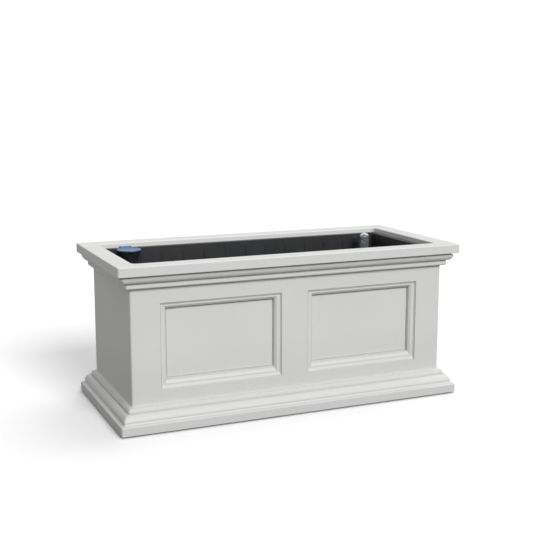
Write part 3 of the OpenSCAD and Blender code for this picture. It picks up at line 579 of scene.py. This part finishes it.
def innerTub():
    t = tub
    low, high = cornersOf("inner_tub")
    halfX, halfY = high.x, high.y
    wall, corner = t.wall, t.corner
    outer, inner, ledge = t.flange, t.flange + wall, t.flange + wall + t.ledge
    rings = [(ledge, low.z, corner - wall), (outer, low.z, corner), (outer, high.z - wall, corner),
             (0, high.z - wall, corner), (0, high.z, corner), (inner, high.z, corner - wall),
             (inner, low.z + wall, corner - wall), (ledge, low.z + wall, corner - wall),
             (ledge, low.z, corner - wall)]
    shape = ringSweep(rings, halfX, halfY, closed=True)
    soften(shape, t.fillet, limit=30)
    # Upright flutes stiffen the thin walls on the inside
    half, proud, pitch = t.fluteHalf, t.fluteProud, t.flutePitch
    bottom, top = low.z + t.fluteLow, high.z - t.fluteHigh
    places = [(number * pitch, side * (halfY - inner), half, proud)
              for number in t.sideFlutes for side in (-1, 1)]
    places += [(side * (halfX - inner), number * pitch, proud, half)
               for number in t.endFlutes for side in (-1, 1)]
    flutes = [block((x - wide, y - deep, bottom), (x + wide, y + deep, top), t.fluteRound)
              for x, y, wide, deep in places]
    shape = join(shape, gather(flutes))
    # Each clip screw goes through the rear wall
    for node in clipNodes:
        place = middleOf(node)
        for side in (-1, 1):
            hole = rod(clip.hole, halfY - outer - wall - 2, halfY - outer + 2, steps=20)
            shape = cut(shape, alongY(hole, place.x + side * clip.screwX, place.z))
    makePiece("inner_tub", shape, tubSkin)


def soilDeck():
    t = tub
    low, high = cornersOf("soil_deck")
    top, bottom = high.z, high.z - t.deck
    deck = block((low.x, low.y, bottom), (high.x, high.y, top), t.corner - t.wall - t.deckGap)
    ribX, ribY = high.x - (t.ledge - t.deckGap) - t.ribBack, high.y / 2
    for side in (-1, 1):
        deck = join(deck, block((-ribX, side * ribY - t.rib / 2, low.z),
                                (ribX, side * ribY + t.rib / 2, bottom + 1), t.ribRound))
    well, wells = t.wellHalf, [middleOf(node).x for node in basketNodes]
    holes = [block((x - well, -well, bottom - 1), (x + well, well, top + 1)) for x in wells]
    for node, radius in (("fill_tube", fill.radius), ("level_tube", gauge.radius)):
        holes.append(standAt(rod(radius + t.tubeGap, bottom - 1, top + 1), node))

    # Drain slots, left out at the wells, the tubes and the ribs
    slotX, slotY = t.slot[0] / 2, t.slot[1] / 2
    pitchX, pitchY = t.slotPitch
    flare, edge, mouth = t.slotFlare, t.slotEdge, t.slotMouth
    round0, round1 = t.slotRound
    countX = int((high.x - t.ledge - slotX - edge) / pitchX)
    countY = int((high.y - t.ledge - 2 * slotY - edge) / pitchY)
    tube, reach = middleOf("level_tube"), fill.radius + t.collar
    slots = []
    for i in range(-countX, countX + 1):
        for j in range(-countY, countY + 1):
            x, y = i * pitchX, j * pitchY
            clearOfWells = (abs(y) > t.flangeHalf + 2 * slotY
                            or min(abs(x - middle) for middle in wells) > t.flangeHalf + slotX + edge)
            clearOfTubes = y < tube.y - reach - 2 * slotY or abs(x) < tube.x - reach - slotX
            clearOfRibs = abs(abs(y) - ribY) > t.rib / 2 + slotY + 1
            if clearOfWells and clearOfTubes and clearOfRibs:
                hole = ringSweep([(flare, bottom - 1, round0), (flare, top - flare, round0),
                                  (-mouth, top + mouth, round1)], slotX + flare, slotY + flare, steps=4)
                slots.append(shift(hole, (x, y, 0)))
    print("deck slots:", len(slots))
    makePiece("soil_deck", cut(deck, gather(holes), gather(slots)), deckSkin)


basket = Values({
    "foot": 42, "top": 54, "flangeHalf": 62, "flange": 3, "wall": 2.5, "window": 5, "windowPitch": 13.5,
    "windowLow": 12, "windowHigh": 19, "windows": range(-2, 3), "floorSlots": (-1, 0, 1), "slotRound": 1.5,
    "corner": 3, "fillet": 0.8,
})
sliver = 0.01   # keeps the faces of two solids out of one plane


# A tapered basket with slotted walls, made once and used three times
def wickBasket(node):
    b = basket
    low, high = cornersOf(node)
    half, wall, corner = b.flangeHalf, b.wall, b.corner
    lip = high.z - b.flange
    foot, top = half - b.foot, half - b.top
    lipBack = foot + (top - foot) * (lip - low.z) / (high.z - low.z)
    outer = ringSweep([(foot, low.z, corner), (lipBack, lip, corner), (0, lip, corner + 1),
                       (0, high.z, corner + 1)], half, half)
    soften(outer, b.fillet, limit=30)
    inner = ringSweep([(foot + wall, low.z + wall, corner - 1), (top + wall, high.z + sliver, corner - 1),
                       (top + wall, high.z + 2, corner - 1)], half, half)
    shape = cut(outer, inner)
    bottom, roof, w = low.z + b.windowLow, high.z - b.windowHigh, b.window / 2
    for middle in [number * b.windowPitch for number in b.windows]:
        shape = cut(shape, block((middle - w, -half, bottom), (middle + w, half, roof)),
                    block((-half, middle - w, bottom), (half, middle + w, roof)))
    for middle in [number * b.windowPitch for number in b.floorSlots]:
        shape = cut(shape, block((-b.foot / 2, middle - w, low.z - 1),
                                 (b.foot / 2, middle + w, low.z + wall + 1), b.slotRound))
    makePiece(node, shift(shape, (middleOf(node).x, 0, 0)), basketSkin)


# The fill tube with its funnel, cap and clip

fill = Values({
    "radius": 22, "wall": 2, "collar": 27, "collarHigh": 3, "notch": (10, 15), "fillet": 0.4,
    "funnel": 31, "mouth": 2.5, "mouthHigh": 4, "sleeve": 3, "sleeveHigh": 10, "snug": 0.1,
    "ear": (12, 4, 9), "earRoot": 6, "earSlot": 0.2, "hinge": 36.5, "hingeReach": 20, "knuckle": 4.5,
    "pin": 2, "pinEase": 0.4, "pinSlip": 0.2, "slip": 0.3,
    "cap": 3, "lip": 3, "lipWall": 2.5, "lipGap": 1, "capRound": 1.1, "capEase": 0.4, "dish": (6, 7.5, 0.8),
    "tab": (16, 5), "tabRound": 3, "tabEase": 0.7, "bridge": 8,
    "grips": 5, "gripPitch": 2.4, "gripGroove": 0.5, "gripLong": 4, "gripOut": (0.5, 0.1),
})
clip = Values({
    "high": 12, "wall": 3.5, "gap": 0.3, "web": 10, "plate": (48, 24, 4), "plateRound": 4, "screwX": 17,
    "screw": 1.75, "hole": 1.85, "head": (3.5, 2), "fillet": 0.6,
})


def fillTube():
    f = fill
    low, high = cornersOf("fill_tube")
    collarLow = cornersOf("soil_deck")[1].z
    collarTop = collarLow + f.collarHigh
    r, bore = f.radius, f.radius - f.wall
    shape = lathe([(bore, low.z), (r, low.z), (r, collarLow), (f.collar, collarLow), (f.collar, collarTop),
                   (r, collarTop), (r, high.z), (bore, high.z)], steps=64)
    soften(shape, f.fillet, limit=40)
    w, tall = f.notch
    shape = cut(shape, block((-r - 1, -w / 2, low.z - 1), (r + 1, w / 2, low.z + tall)))
    makePiece("fill_tube", standAt(shape, "fill_tube"), tubeSkin)


# A hole along the hinge's axis, through ears and knuckle
def hingeHole(slip):
    hole = rod(fill.pin + slip, -fill.hingeReach, fill.hingeReach, steps=24)
    return alongX(hole, fill.hinge, middleOf("cap_hinge_pin").z)


def fillFunnel():
    f = fill
    high = cornersOf("fill_funnel")[1]
    tubeTop = cornersOf("fill_tube")[1].z
    r, bore, rim = f.radius + f.snug, f.radius - f.wall, f.funnel
    outer, throat = f.radius + f.sleeve, f.funnel - f.mouth
    section = [(bore, tubeTop), (r, tubeTop), (r, tubeTop - f.sleeveHigh), (outer, tubeTop - f.sleeveHigh),
               (outer, tubeTop + f.wall), (rim, high.z - f.mouthHigh), (rim, high.z), (throat, high.z),
               (throat, high.z - f.mouthHigh), (bore, tubeTop + f.sleeve)]
    mouthTop = cornersOf("fill_cap")[0].z + f.lip - f.slip
    shape = lathe([(radius, min(height, mouthTop)) for radius, height in section], steps=64)
    soften(shape, f.fillet, limit=25)
    inner, thick, tall = f.ear
    hinge, knuckle = f.hinge, f.knuckle
    hingeZ = middleOf("cap_hinge_pin").z
    for side in (-1, 1):
        x0, x1 = sorted((side * inner, side * (inner + thick)))
        ear = block((x0, rim - f.earRoot, mouthTop - tall), (x1, hinge + knuckle, mouthTop))
        ear = join(ear, block((x0, hinge - knuckle, mouthTop - 1), (x1, hinge + knuckle, hingeZ)))
        shape = join(shape, join(ear, alongX(rod(knuckle, x0, x1, steps=32), hinge, hingeZ)))
    throatCut = rod(throat - f.snug / 2, mouthTop - f.mouthHigh + f.snug, mouthTop + f.hingeReach)
    shape = cut(shape, hingeHole(f.snug), throatCut)
    makePiece("fill_funnel", standAt(shape, "fill_tube"), fittingSkin)


def fillCap():
    f = fill
    low = cornersOf("fill_cap")[0]
    under = low.z + f.lip
    top = under + f.cap
    r, lip, c, ease = f.funnel, f.funnel - f.mouth - f.lipGap, f.capRound, f.capEase
    # A shallow dish in the top, and a ring for the lip beneath
    dishOuter, dishInner, dishDeep = f.dish
    shape = lathe([(0, under), (lip - f.lipWall, under), (lip - f.lipWall, low.z), (lip, low.z), (lip, under),
                   (r - ease, under), (r, under + ease), *arc(r - c, top - c, c, c, 0, 90, 5),
                   (r - dishOuter, top), (r - dishInner, top - dishDeep), (0, top - dishDeep)], steps=72)
    tabX, tabY = f.tab
    tab = block((-tabX / 2, -r - tabY, under), (tabX / 2, -r + tabY, top), f.tabRound)
    soften(tab, f.tabEase, limit=40)
    half = f.ear[0] - f.slip
    bridge = block((-half, r - f.bridge, under), (half, f.hinge, top))
    knuckle = alongX(rod(f.knuckle, -half, half, steps=40), f.hinge, middleOf("cap_hinge_pin").z)
    shape = join(shape, tab, join(bridge, knuckle))
    outY, outZ = f.gripOut
    for number in range(f.grips):
        x = (number - (f.grips - 1) / 2) * f.gripPitch
        groove = turned(rod(f.gripGroove, -f.gripLong, f.gripLong, steps=12), 90, "X")
        shape = cut(shape, shift(groove, (x, -r - outY, top + outZ)))
    inner, thick = f.ear[:2]
    for side in (-1, 1):
        x0, x1 = sorted((side * (inner - f.slip), side * (inner + thick + f.slip)))
        shape = cut(shape, block((x0, r - f.earRoot - f.slip, low.z - 1),
                                 (x1, r + f.hingeReach, top + 1), f.earSlot))
    shape = cut(shape, hingeHole(f.pinSlip))
    makePiece("fill_cap", standAt(shape, "fill_tube"), capSkin)


def hingePin():
    low, high = cornersOf("cap_hinge_pin")
    length = (high.x - low.x) / 2
    shape = lathe(easedRod(fill.pin, -length, length, fill.pinEase), steps=32)
    makePiece("cap_hinge_pin", shift(turned(shape, 90, "Y"), middleOf("cap_hinge_pin")), steel, "hingePin")


# A clip on the tub's rear wall, round a tube of the given radius
def tubeClip(node, radius):
    c = clip
    wallY, place = cornersOf(node)[1].y, middleOf(node)
    tubeY = middleOf(node.replace("_clip", "")).y
    bore, half = radius + c.gap, c.high / 2
    ring = shift(rod(bore + c.wall, -half, half, steps=56), (0, tubeY, 0))
    web = block((-c.web / 2, tubeY, -half), (c.web / 2, wallY, half))
    wide, tall, thick = c.plate
    plate = turned(block((-wide / 2, -tall / 2, -thick), (wide / 2, tall / 2, 0), c.plateRound), -90, "X")
    shape = join(ring, web, shift(plate, (0, wallY, 0)))
    # The bore is cut before the outside is rounded, since cutting the rounded clip fails now and then
    shape = cut(shape, shift(rod(bore, -c.high, c.high, steps=56), (0, tubeY, 0)))
    soften(shape, c.fillet, limit=40,
           test=lambda edge: max(hypot(vert.co.x, vert.co.y - tubeY) for vert in edge.verts) > bore + 1)
    for side in (-1, 1):
        hole = rod(c.hole, wallY - thick - 1, wallY + 1, steps=20)
        shape = cut(shape, alongY(hole, side * c.screwX, 0))
    makePiece(node, shift(shape, (place.x, 0, place.z)), fittingSkin)


# Shares of a screw head's radius and height, and of the shank's radius at its tip
screwShares = Values({
    "dome": 0.35, "domeEdge": (0.8, 0.3), "tip": 0.4, "cross": (0.55, 0.1, 0.45), "crossRound": 0.05,
})


# A screw along +Z with a domed head at the top and a cross recess
def screw(shank, length, head, thick):
    share = screwShares
    dome, (edgeBack, edgeDrop), (long, wide, deep) = share.dome * thick, share.domeEdge, share.cross
    shape = lathe([(0, -length), (shank * share.tip, -length), (shank, -length + shank), (shank, 0),
                   (head, 0), (head, thick - dome), (head * edgeBack, thick - dome * edgeDrop),
                   (0, thick)], steps=32)
    for turn in (0, 90):
        slot = block((-head * long, -head * wide, thick * deep), (head * long, head * wide, thick + 1),
                     share.crossRound)
        shape = cut(shape, turned(slot, turn, "Z"))
    return shape


def clipScrews():
    c = clip
    low, high = cornersOf("clip_screws")
    head, thick = c.head
    screws = []
    for place in [middleOf(node) for node in clipNodes]:
        for side in (-1, 1):
            one = turned(screw(c.screw, high.y - low.y - thick, head, thick), 90, "X")
            screws.append(shift(one, (place.x + side * c.screwX, low.y + thick, place.z)))
    makePiece("clip_screws", gather(screws), steel)


# The level gauge

gauge = Values({
    "radius": 13, "bore": 11, "stop": (7, 2), "vent": 4, "ventLow": 8, "ventHigh": 26, "collar": 18,
    "collarHigh": 3, "fillet": 0.4, "bezel": 16, "bezelRound": 0.6, "grip": 13.1, "seat": 2,
    "grooves": 24, "groove": 0.45, "grooveEnd": 2.5, "grooveOut": 0.15,
    "float": 9.5, "floatEase": 1.5, "floatShare": 0.4,
    "rod": 1.5, "rodEase": 0.3, "rodHole": 1.6, "rodGrip": 6,
    "marker": 8, "markerEase": 1, "markerShare": 0.3,
})


def levelTube():
    g = gauge
    low, high = cornersOf("level_tube")
    deck = cornersOf("soil_deck")[1].z
    collarTop, (hole, stop), r = deck + g.collarHigh, g.stop, g.radius
    shape = lathe([(hole, low.z), (r, low.z), (r, deck), (g.collar, deck), (g.collar, collarTop),
                   (r, collarTop), (r, high.z), (g.bore, high.z), (g.bore, low.z + stop),
                   (hole, low.z + stop)], steps=56)
    soften(shape, g.fillet, limit=40)
    roof = deck - tub.deck - g.ventHigh
    shape = cut(shape, block((-r - 1, -g.vent / 2, low.z + g.ventLow), (r + 1, g.vent / 2, roof)))
    makePiece("level_tube", standAt(shape, "level_tube"), tubeSkin)


def levelBezel():
    g = gauge
    low, high = cornersOf("level_bezel")
    top = cornersOf("level_tube")[1].z
    r, grip, seat = g.bezel, g.grip, top + g.seat
    shape = lathe([(grip, low.z), (r, low.z), (r, high.z), (grip, high.z), (grip, seat), (g.bore, seat),
                   (g.bore, top), (grip, top)], steps=72)
    soften(shape, g.bezelRound, segments=3, limit=40)
    # Shallow grooves round the outside give a wet hand some grip
    grooves, end = [], g.grooveEnd
    for number in range(g.grooves):
        groove = shift(rod(g.groove, low.z + end, high.z - end, steps=8), (r + g.grooveOut, 0, 0))
        grooves.append(turned(groove, number * 360 / g.grooves, "Z"))
    shape = cut(shape, gather(grooves))
    makePiece("level_bezel", standAt(shape, "level_tube"), fittingSkin)


def levelWindow():
    low, high = cornersOf("level_window")
    r, bore = gauge.radius, gauge.bore
    dome = high.z - r
    outer, inner = arc(0, dome, r, r, 0, 90, 15), arc(0, dome, bore, bore, 90, 0, 15)
    outer[-1], inner[0] = (0, high.z), (0, dome + bore)   # the poles exactly on the axis
    shape = lathe([*inner, (bore, low.z), (r, low.z), *outer], steps=64)
    makePiece("level_window", standAt(shape, "level_tube"), windowClear)


def levelFloat():
    g = gauge
    low, high = cornersOf("level_float")
    r, c, k = g.float, g.floatEase, g.floatShare * g.floatEase
    shape = lathe([(0, low.z), (r - c, low.z), (r - k, low.z + k), (r, low.z + c), (r, high.z - c),
                   (r - k, high.z - k), (r - c, high.z), (g.rodHole, high.z),
                   (g.rodHole, high.z - g.rodGrip), (0, high.z - g.rodGrip)])
    makePiece("level_float", standAt(shape, "level_tube"), foam)


def floatRod():
    low, high = cornersOf("float_rod")
    shape = lathe(easedRod(gauge.rod, low.z, high.z, gauge.rodEase), steps=24)
    makePiece("float_rod", standAt(shape, "level_tube"), steel)


def levelMarker():
    g = gauge
    low, high = cornersOf("level_marker")
    r, c, k = g.marker, g.markerEase, g.markerShare * g.markerEase
    shape = lathe([(0, low.z + g.rodGrip), (g.rodHole, low.z + g.rodGrip), (g.rodHole, low.z),
                   (r - c, low.z), (r, low.z + c), (r, high.z - c), (r - k, high.z - k), (r - c, high.z),
                   (0, high.z)])
    makePiece("level_marker", standAt(shape, "level_tube"), markerRed)


# The overflow through the rear wall; shapes are made upright and then laid along Y

overflow = Values({
    "wallHole": 10.3, "barrel": 10, "flange": 16, "flangeThick": 5, "spigot": 8, "bore": 6, "fillet": 0.5,
    "barb": 0.7, "barbs": 3, "barbLong": 4, "barbPitch": 4.5, "barbLip": 0.3,
    "screenGap": 0.05, "screenWall": 1.6, "screenFillet": 0.3, "slots": (-1, 0, 1), "slot": 1.8, "pitch": 3.6,
    "slotEnd": 2, "slotRound": 0.5,
})
# Bore, radius and bulge of the two seals, and the nuts' bore and eased corners
seals = Values({"overflow_gasket": (10.05, 15, 0.5), "plug_seal": (7.3, 10.6, 0.6), "side": 0.3, "rise": 0.4})
nut = Values({"overflow_nut": 10.05, "drain_locknut": 11.05, "corner": 1.6, "past": 0.1, "lead": 0.5})


def overflowFitting():
    o = overflow
    low, high = cornersOf("overflow_fitting")
    flange = cornersOf("overflow_gasket")[1].y
    top, r, root = flange + o.flangeThick, o.spigot, o.spigot - o.barb
    # The hose tail is barbed within its own outline
    tail = [(root, top)]
    for number in range(o.barbs):
        start = top + o.barbLong + number * o.barbPitch
        tail += [(root, start), (r, start + o.barbLip), (root, start + o.barbLong)]
    shape = lathe([(o.bore, low.y), (o.barrel, low.y), (o.barrel, flange), (o.flange, flange),
                   (o.flange, top), *tail, (root, high.y), (o.bore, high.y)], steps=56)
    soften(shape, o.fillet, limit=60,
           test=lambda edge: max(hypot(vert.co.x, vert.co.y) for vert in edge.verts) > r + 1)
    makePiece("overflow_fitting", inWall(shape, "overflow_gasket"), fittingSkin)


def ringSeal(node, material):
    low, high = cornersOf(node)
    bore, radius, bulge = seals[node]
    side, rise = seals.side * bulge, seals.rise * bulge
    shape = lathe([(bore, low.y), (radius - bulge, low.y), (radius - side, low.y + rise),
                   (radius, (low.y + high.y) / 2), (radius - side, high.y - rise), (radius - bulge, high.y),
                   (bore, high.y)], steps=56)
    makePiece(node, inWall(shape, node), material)


# A six-sided nut against the inside of the rear wall
def wallNut(node):
    low, high = cornersOf(node)
    bore, radius, back, past, lead = nut[node], (high.x - low.x) / 2, nut.corner, nut.past, nut.lead
    # Turning off the corners gives a nut its rounded crowns
    turning = lathe([(0, low.y - sliver), (radius - back, low.y - sliver), (radius + past, low.y + 1),
                     (radius + past, high.y - 1), (radius - back, high.y + sliver), (0, high.y + sliver)])
    shape = solve(rod(radius, low.y, high.y, steps=6), "INTERSECT", turning)
    shape = cut(shape, lathe([(0, low.y - 1), (bore + lead, low.y - 1), (bore + lead, low.y),
                              (bore, low.y + lead), (bore, high.y + 1), (0, high.y + 1)]))
    makePiece(node, inWall(shape, node), fittingSkin)


def overflowScreen():
    o = overflow
    low, high = cornersOf("overflow_screen")
    r, inner, wall = (high.x - low.x) / 2, o.barrel + o.screenGap, o.screenWall
    shape = lathe([(0, low.y), (r, low.y), (r, high.y), (inner, high.y), (inner, low.y + wall),
                   (0, low.y + wall)], steps=56)
    soften(shape, o.screenFillet, limit=60)
    half, reach = o.slot / 2, o.bore - o.slotEnd
    for x in [number * o.pitch for number in o.slots]:
        shape = cut(shape, block((x - half, -reach, low.y - 1), (x + half, reach, low.y + wall + 1),
                                 o.slotRound))
    makePiece("overflow_screen", inWall(shape, "overflow_gasket"), tubeSkin)


# The drain and its plug

drain = Values({
    "wallHole": 11.1, "bushing": 11, "bushingFlange": 14, "bore": 7.1, "fillet": 0.5,
    "shank": 7, "threadDepth": 0.8, "threadPitch": 3, "threadStart": 1.5, "threads": 3, "threadLead": 0.5,
    "threadSteps": (0.4, 1.1, 1.5), "head": 11.4, "headThick": 4, "headEase": (0.6, 0.8),
    "wing": 19, "wingThick": 6, "wingRound": 1, "wingSunk": 0.5, "wingCorner": 0.2,
    "grooves": 4, "groove": 0.6, "grooveFirst": 6, "groovePitch": 3.4, "grooveEnds": (2.5, 2),
    "grooveOut": 0.25,
})


def drainBushing():
    d = drain
    low, high = cornersOf("drain_bushing")
    flange = cornersOf("overflow_gasket")[0].y
    shape = lathe([(d.bore, low.y), (d.bushing, low.y), (d.bushing, flange), (d.bushingFlange, flange),
                   (d.bushingFlange, high.y), (d.bore, high.y)], steps=56)
    soften(shape, d.fillet, limit=60)
    makePiece("drain_bushing", inWall(shape, "drain_bushing"), fittingSkin)


def drainPlug():
    d = drain
    low, high = cornersOf("drain_plug")
    head = cornersOf("plug_seal")[1].y
    wingLow, shank, r = head + d.headThick, d.shank, d.head
    root, (rise, fall, out), (ease, backEase) = shank - d.threadDepth, d.threadSteps, d.headEase
    section = [(0, low.y), (shank - ease, low.y)]
    for number in range(d.threads):
        start = low.y + d.threadStart + number * d.threadPitch
        section += [(shank, start - d.threadLead), (shank, start), (root, start + rise), (root, start + fall),
                    (shank, start + out)]
    body = lathe([*section, (shank, head), (r - ease, head), (r, head + ease), (r, wingLow - backEase),
                  (r - backEase, wingLow), (0, wingLow)], steps=56)
    # The grip is a disc cut to a bar, with its edges eased and grooves for the fingers
    wing, half = d.wing, d.wingThick / 2
    slab = block((-wing - 1, -half, wingLow - 2), (wing + 1, half, high.y + 1), d.wingCorner)
    bar = solve(rod(wing, wingLow - d.wingSunk, high.y, steps=56), "INTERSECT", slab)
    soften(bar, d.wingRound, segments=3, limit=40)
    lowEnd, highEnd = d.grooveEnds
    for side in (-1, 1):
        for x in [side * (d.grooveFirst + number * d.groovePitch) for number in range(d.grooves)]:
            for face in (-1, 1):
                groove = rod(d.groove, wingLow + lowEnd, high.y - highEnd, steps=10)
                bar = cut(bar, shift(groove, (x, face * (half + d.grooveOut), 0)))
    makePiece("drain_plug", inWall(join(body, bar), "drain_plug"), plugSkin)


# The feet and their screws

foot = Values({
    "corner": 8, "recess": 5.1, "recessHigh": 3, "hole": 2.3, "ease": 1.2, "easeShare": 0.3,
    "head": 4.8, "shank": 2,
})


def makeFoot(node):
    f = foot
    low, high = cornersOf(node)
    c, k, corner = f.ease, f.easeShare * f.ease, f.corner
    shape = ringSweep([(c, low.z, corner - c), (k, low.z + k, corner - k), (0, low.z + c, corner),
                       (0, high.z, corner)], (high.x - low.x) / 2, (high.y - low.y) / 2)
    shape = cut(shape, rod(f.recess, low.z - 1, low.z + f.recessHigh, steps=40),
                rod(f.hole, low.z - 1, high.z + 1, steps=24))
    makePiece(node, standAt(shape, node), rubber)


def footScrews():
    f = foot
    low, high = cornersOf("foot_screws")
    screws = []
    for place in [middleOf(node) for node in footNodes]:
        one = screw(f.shank, high.z - f.recessHigh, f.head, f.recessHigh - low.z)
        screws.append(shift(turned(one, 180, "X"), (place.x, place.y, f.recessHigh)))
    makePiece("foot_screws", gather(screws), steel)


# All the pieces

outerShell()
innerTub()
soilDeck()
for node in basketNodes:
    wickBasket(node)
print("tub done")
fillTube()
fillFunnel()
fillCap()
hingePin()
tubeClip("fill_tube_clip", fill.radius)
tubeClip("level_tube_clip", gauge.radius)
clipScrews()
levelTube()
levelBezel()
levelWindow()
levelFloat()
floatRod()
levelMarker()
print("tubes done")
overflowFitting()
ringSeal("overflow_gasket", gasketSkin)
wallNut("overflow_nut")
overflowScreen()
drainBushing()
wallNut("drain_locknut")
ringSeal("plug_seal", sealSkin)
drainPlug()
for node in footNodes:
    makeFoot(node)
footScrews()
print("fittings done")

# Camera, floor and light

camera = Values({
    "lens": 66.76, "sensor": 36, "eye": (-1.0156, -2.3504, 0.792), "azimuth": -23.33, "elevation": 9.97,
})
eye = bpy.data.cameras.new("eye")
eye.lens, eye.sensor_width = camera.lens, camera.sensor
stand = bpy.data.objects.new("eye", eye)
stand.location = camera.eye
stand.rotation_euler = (radians(90 - camera.elevation), 0, radians(camera.azimuth))
scene.collection.objects.link(stand)
scene.camera = stand

# A wide soft lamp in front, a weaker one high on the right, and an even glow from the whole room.
# Bounce is how much of it the floor throws back at the box
lights = Values({
    "front": (2.44, 26, (0.13, -1, 0.63)), "back": (0.75, 40, (0.5, 0.25, 1)), "room": 0.46, "bounce": 0.06,
    "floor": "#ffffff", "floorSize": 30,
})
for name in ("front", "back"):
    strength, width, origin = lights[name]
    glow = bpy.data.lights.new(name, "SUN")
    glow.energy, glow.angle = strength, radians(width)
    lamp = bpy.data.objects.new(name, glow)
    lamp.rotation_euler = Vector(origin).to_track_quat("Z", "Y").to_euler()
    scene.collection.objects.link(lamp)


# Tells what the camera, a gloss or a clear piece shows from what lights the box
def seenRay(tree):
    ray = addNode(tree, "LightPath").outputs
    seen = addNode(tree, "Math", {0: ray["Is Camera Ray"], 1: ray["Is Glossy Ray"]}, operation="MAXIMUM")
    return addNode(tree, "Math", {0: seen, 1: ray["Is Transmission Ray"]}, operation="MAXIMUM")


world = bpy.data.worlds.new("studio")
world.use_nodes = True
tree = world.node_tree
tree.nodes.clear()
level = addNode(tree, "Mix", {"Factor": seenRay(tree), "A": lights.room, "B": 1.0})
air = addNode(tree, "Background", {"Color": [1, 1, 1, 1], "Strength": level})
addNode(tree, "OutputWorld", {"Surface": air})
scene.world = world
scene.view_settings.view_transform = "Standard"

floorShape = bmesh.new()
bmesh.ops.create_grid(floorShape, x_segments=1, y_segments=1, size=lights.floorSize)
floorMesh = bpy.data.meshes.new("floor")
floorShape.to_mesh(floorMesh)
floorShape.free()
floor = bpy.data.objects.new("floor", floorMesh)
scene.collection.objects.link(floor)
paper = bpy.data.materials.new("paper")
paper.use_nodes = True
tree = paper.node_tree
tree.nodes.clear()
tone = addNode(tree, "Mix", {0: seenRay(tree), 6: [lights.bounce] * 3 + [1], 7: linear(lights.floor)},
               data_type="RGBA")
sheet = addNode(tree, "BsdfDiffuse", {"Color": tone.outputs[2]})
addNode(tree, "OutputMaterial", {"Surface": sheet})
floorMesh.materials.append(paper)
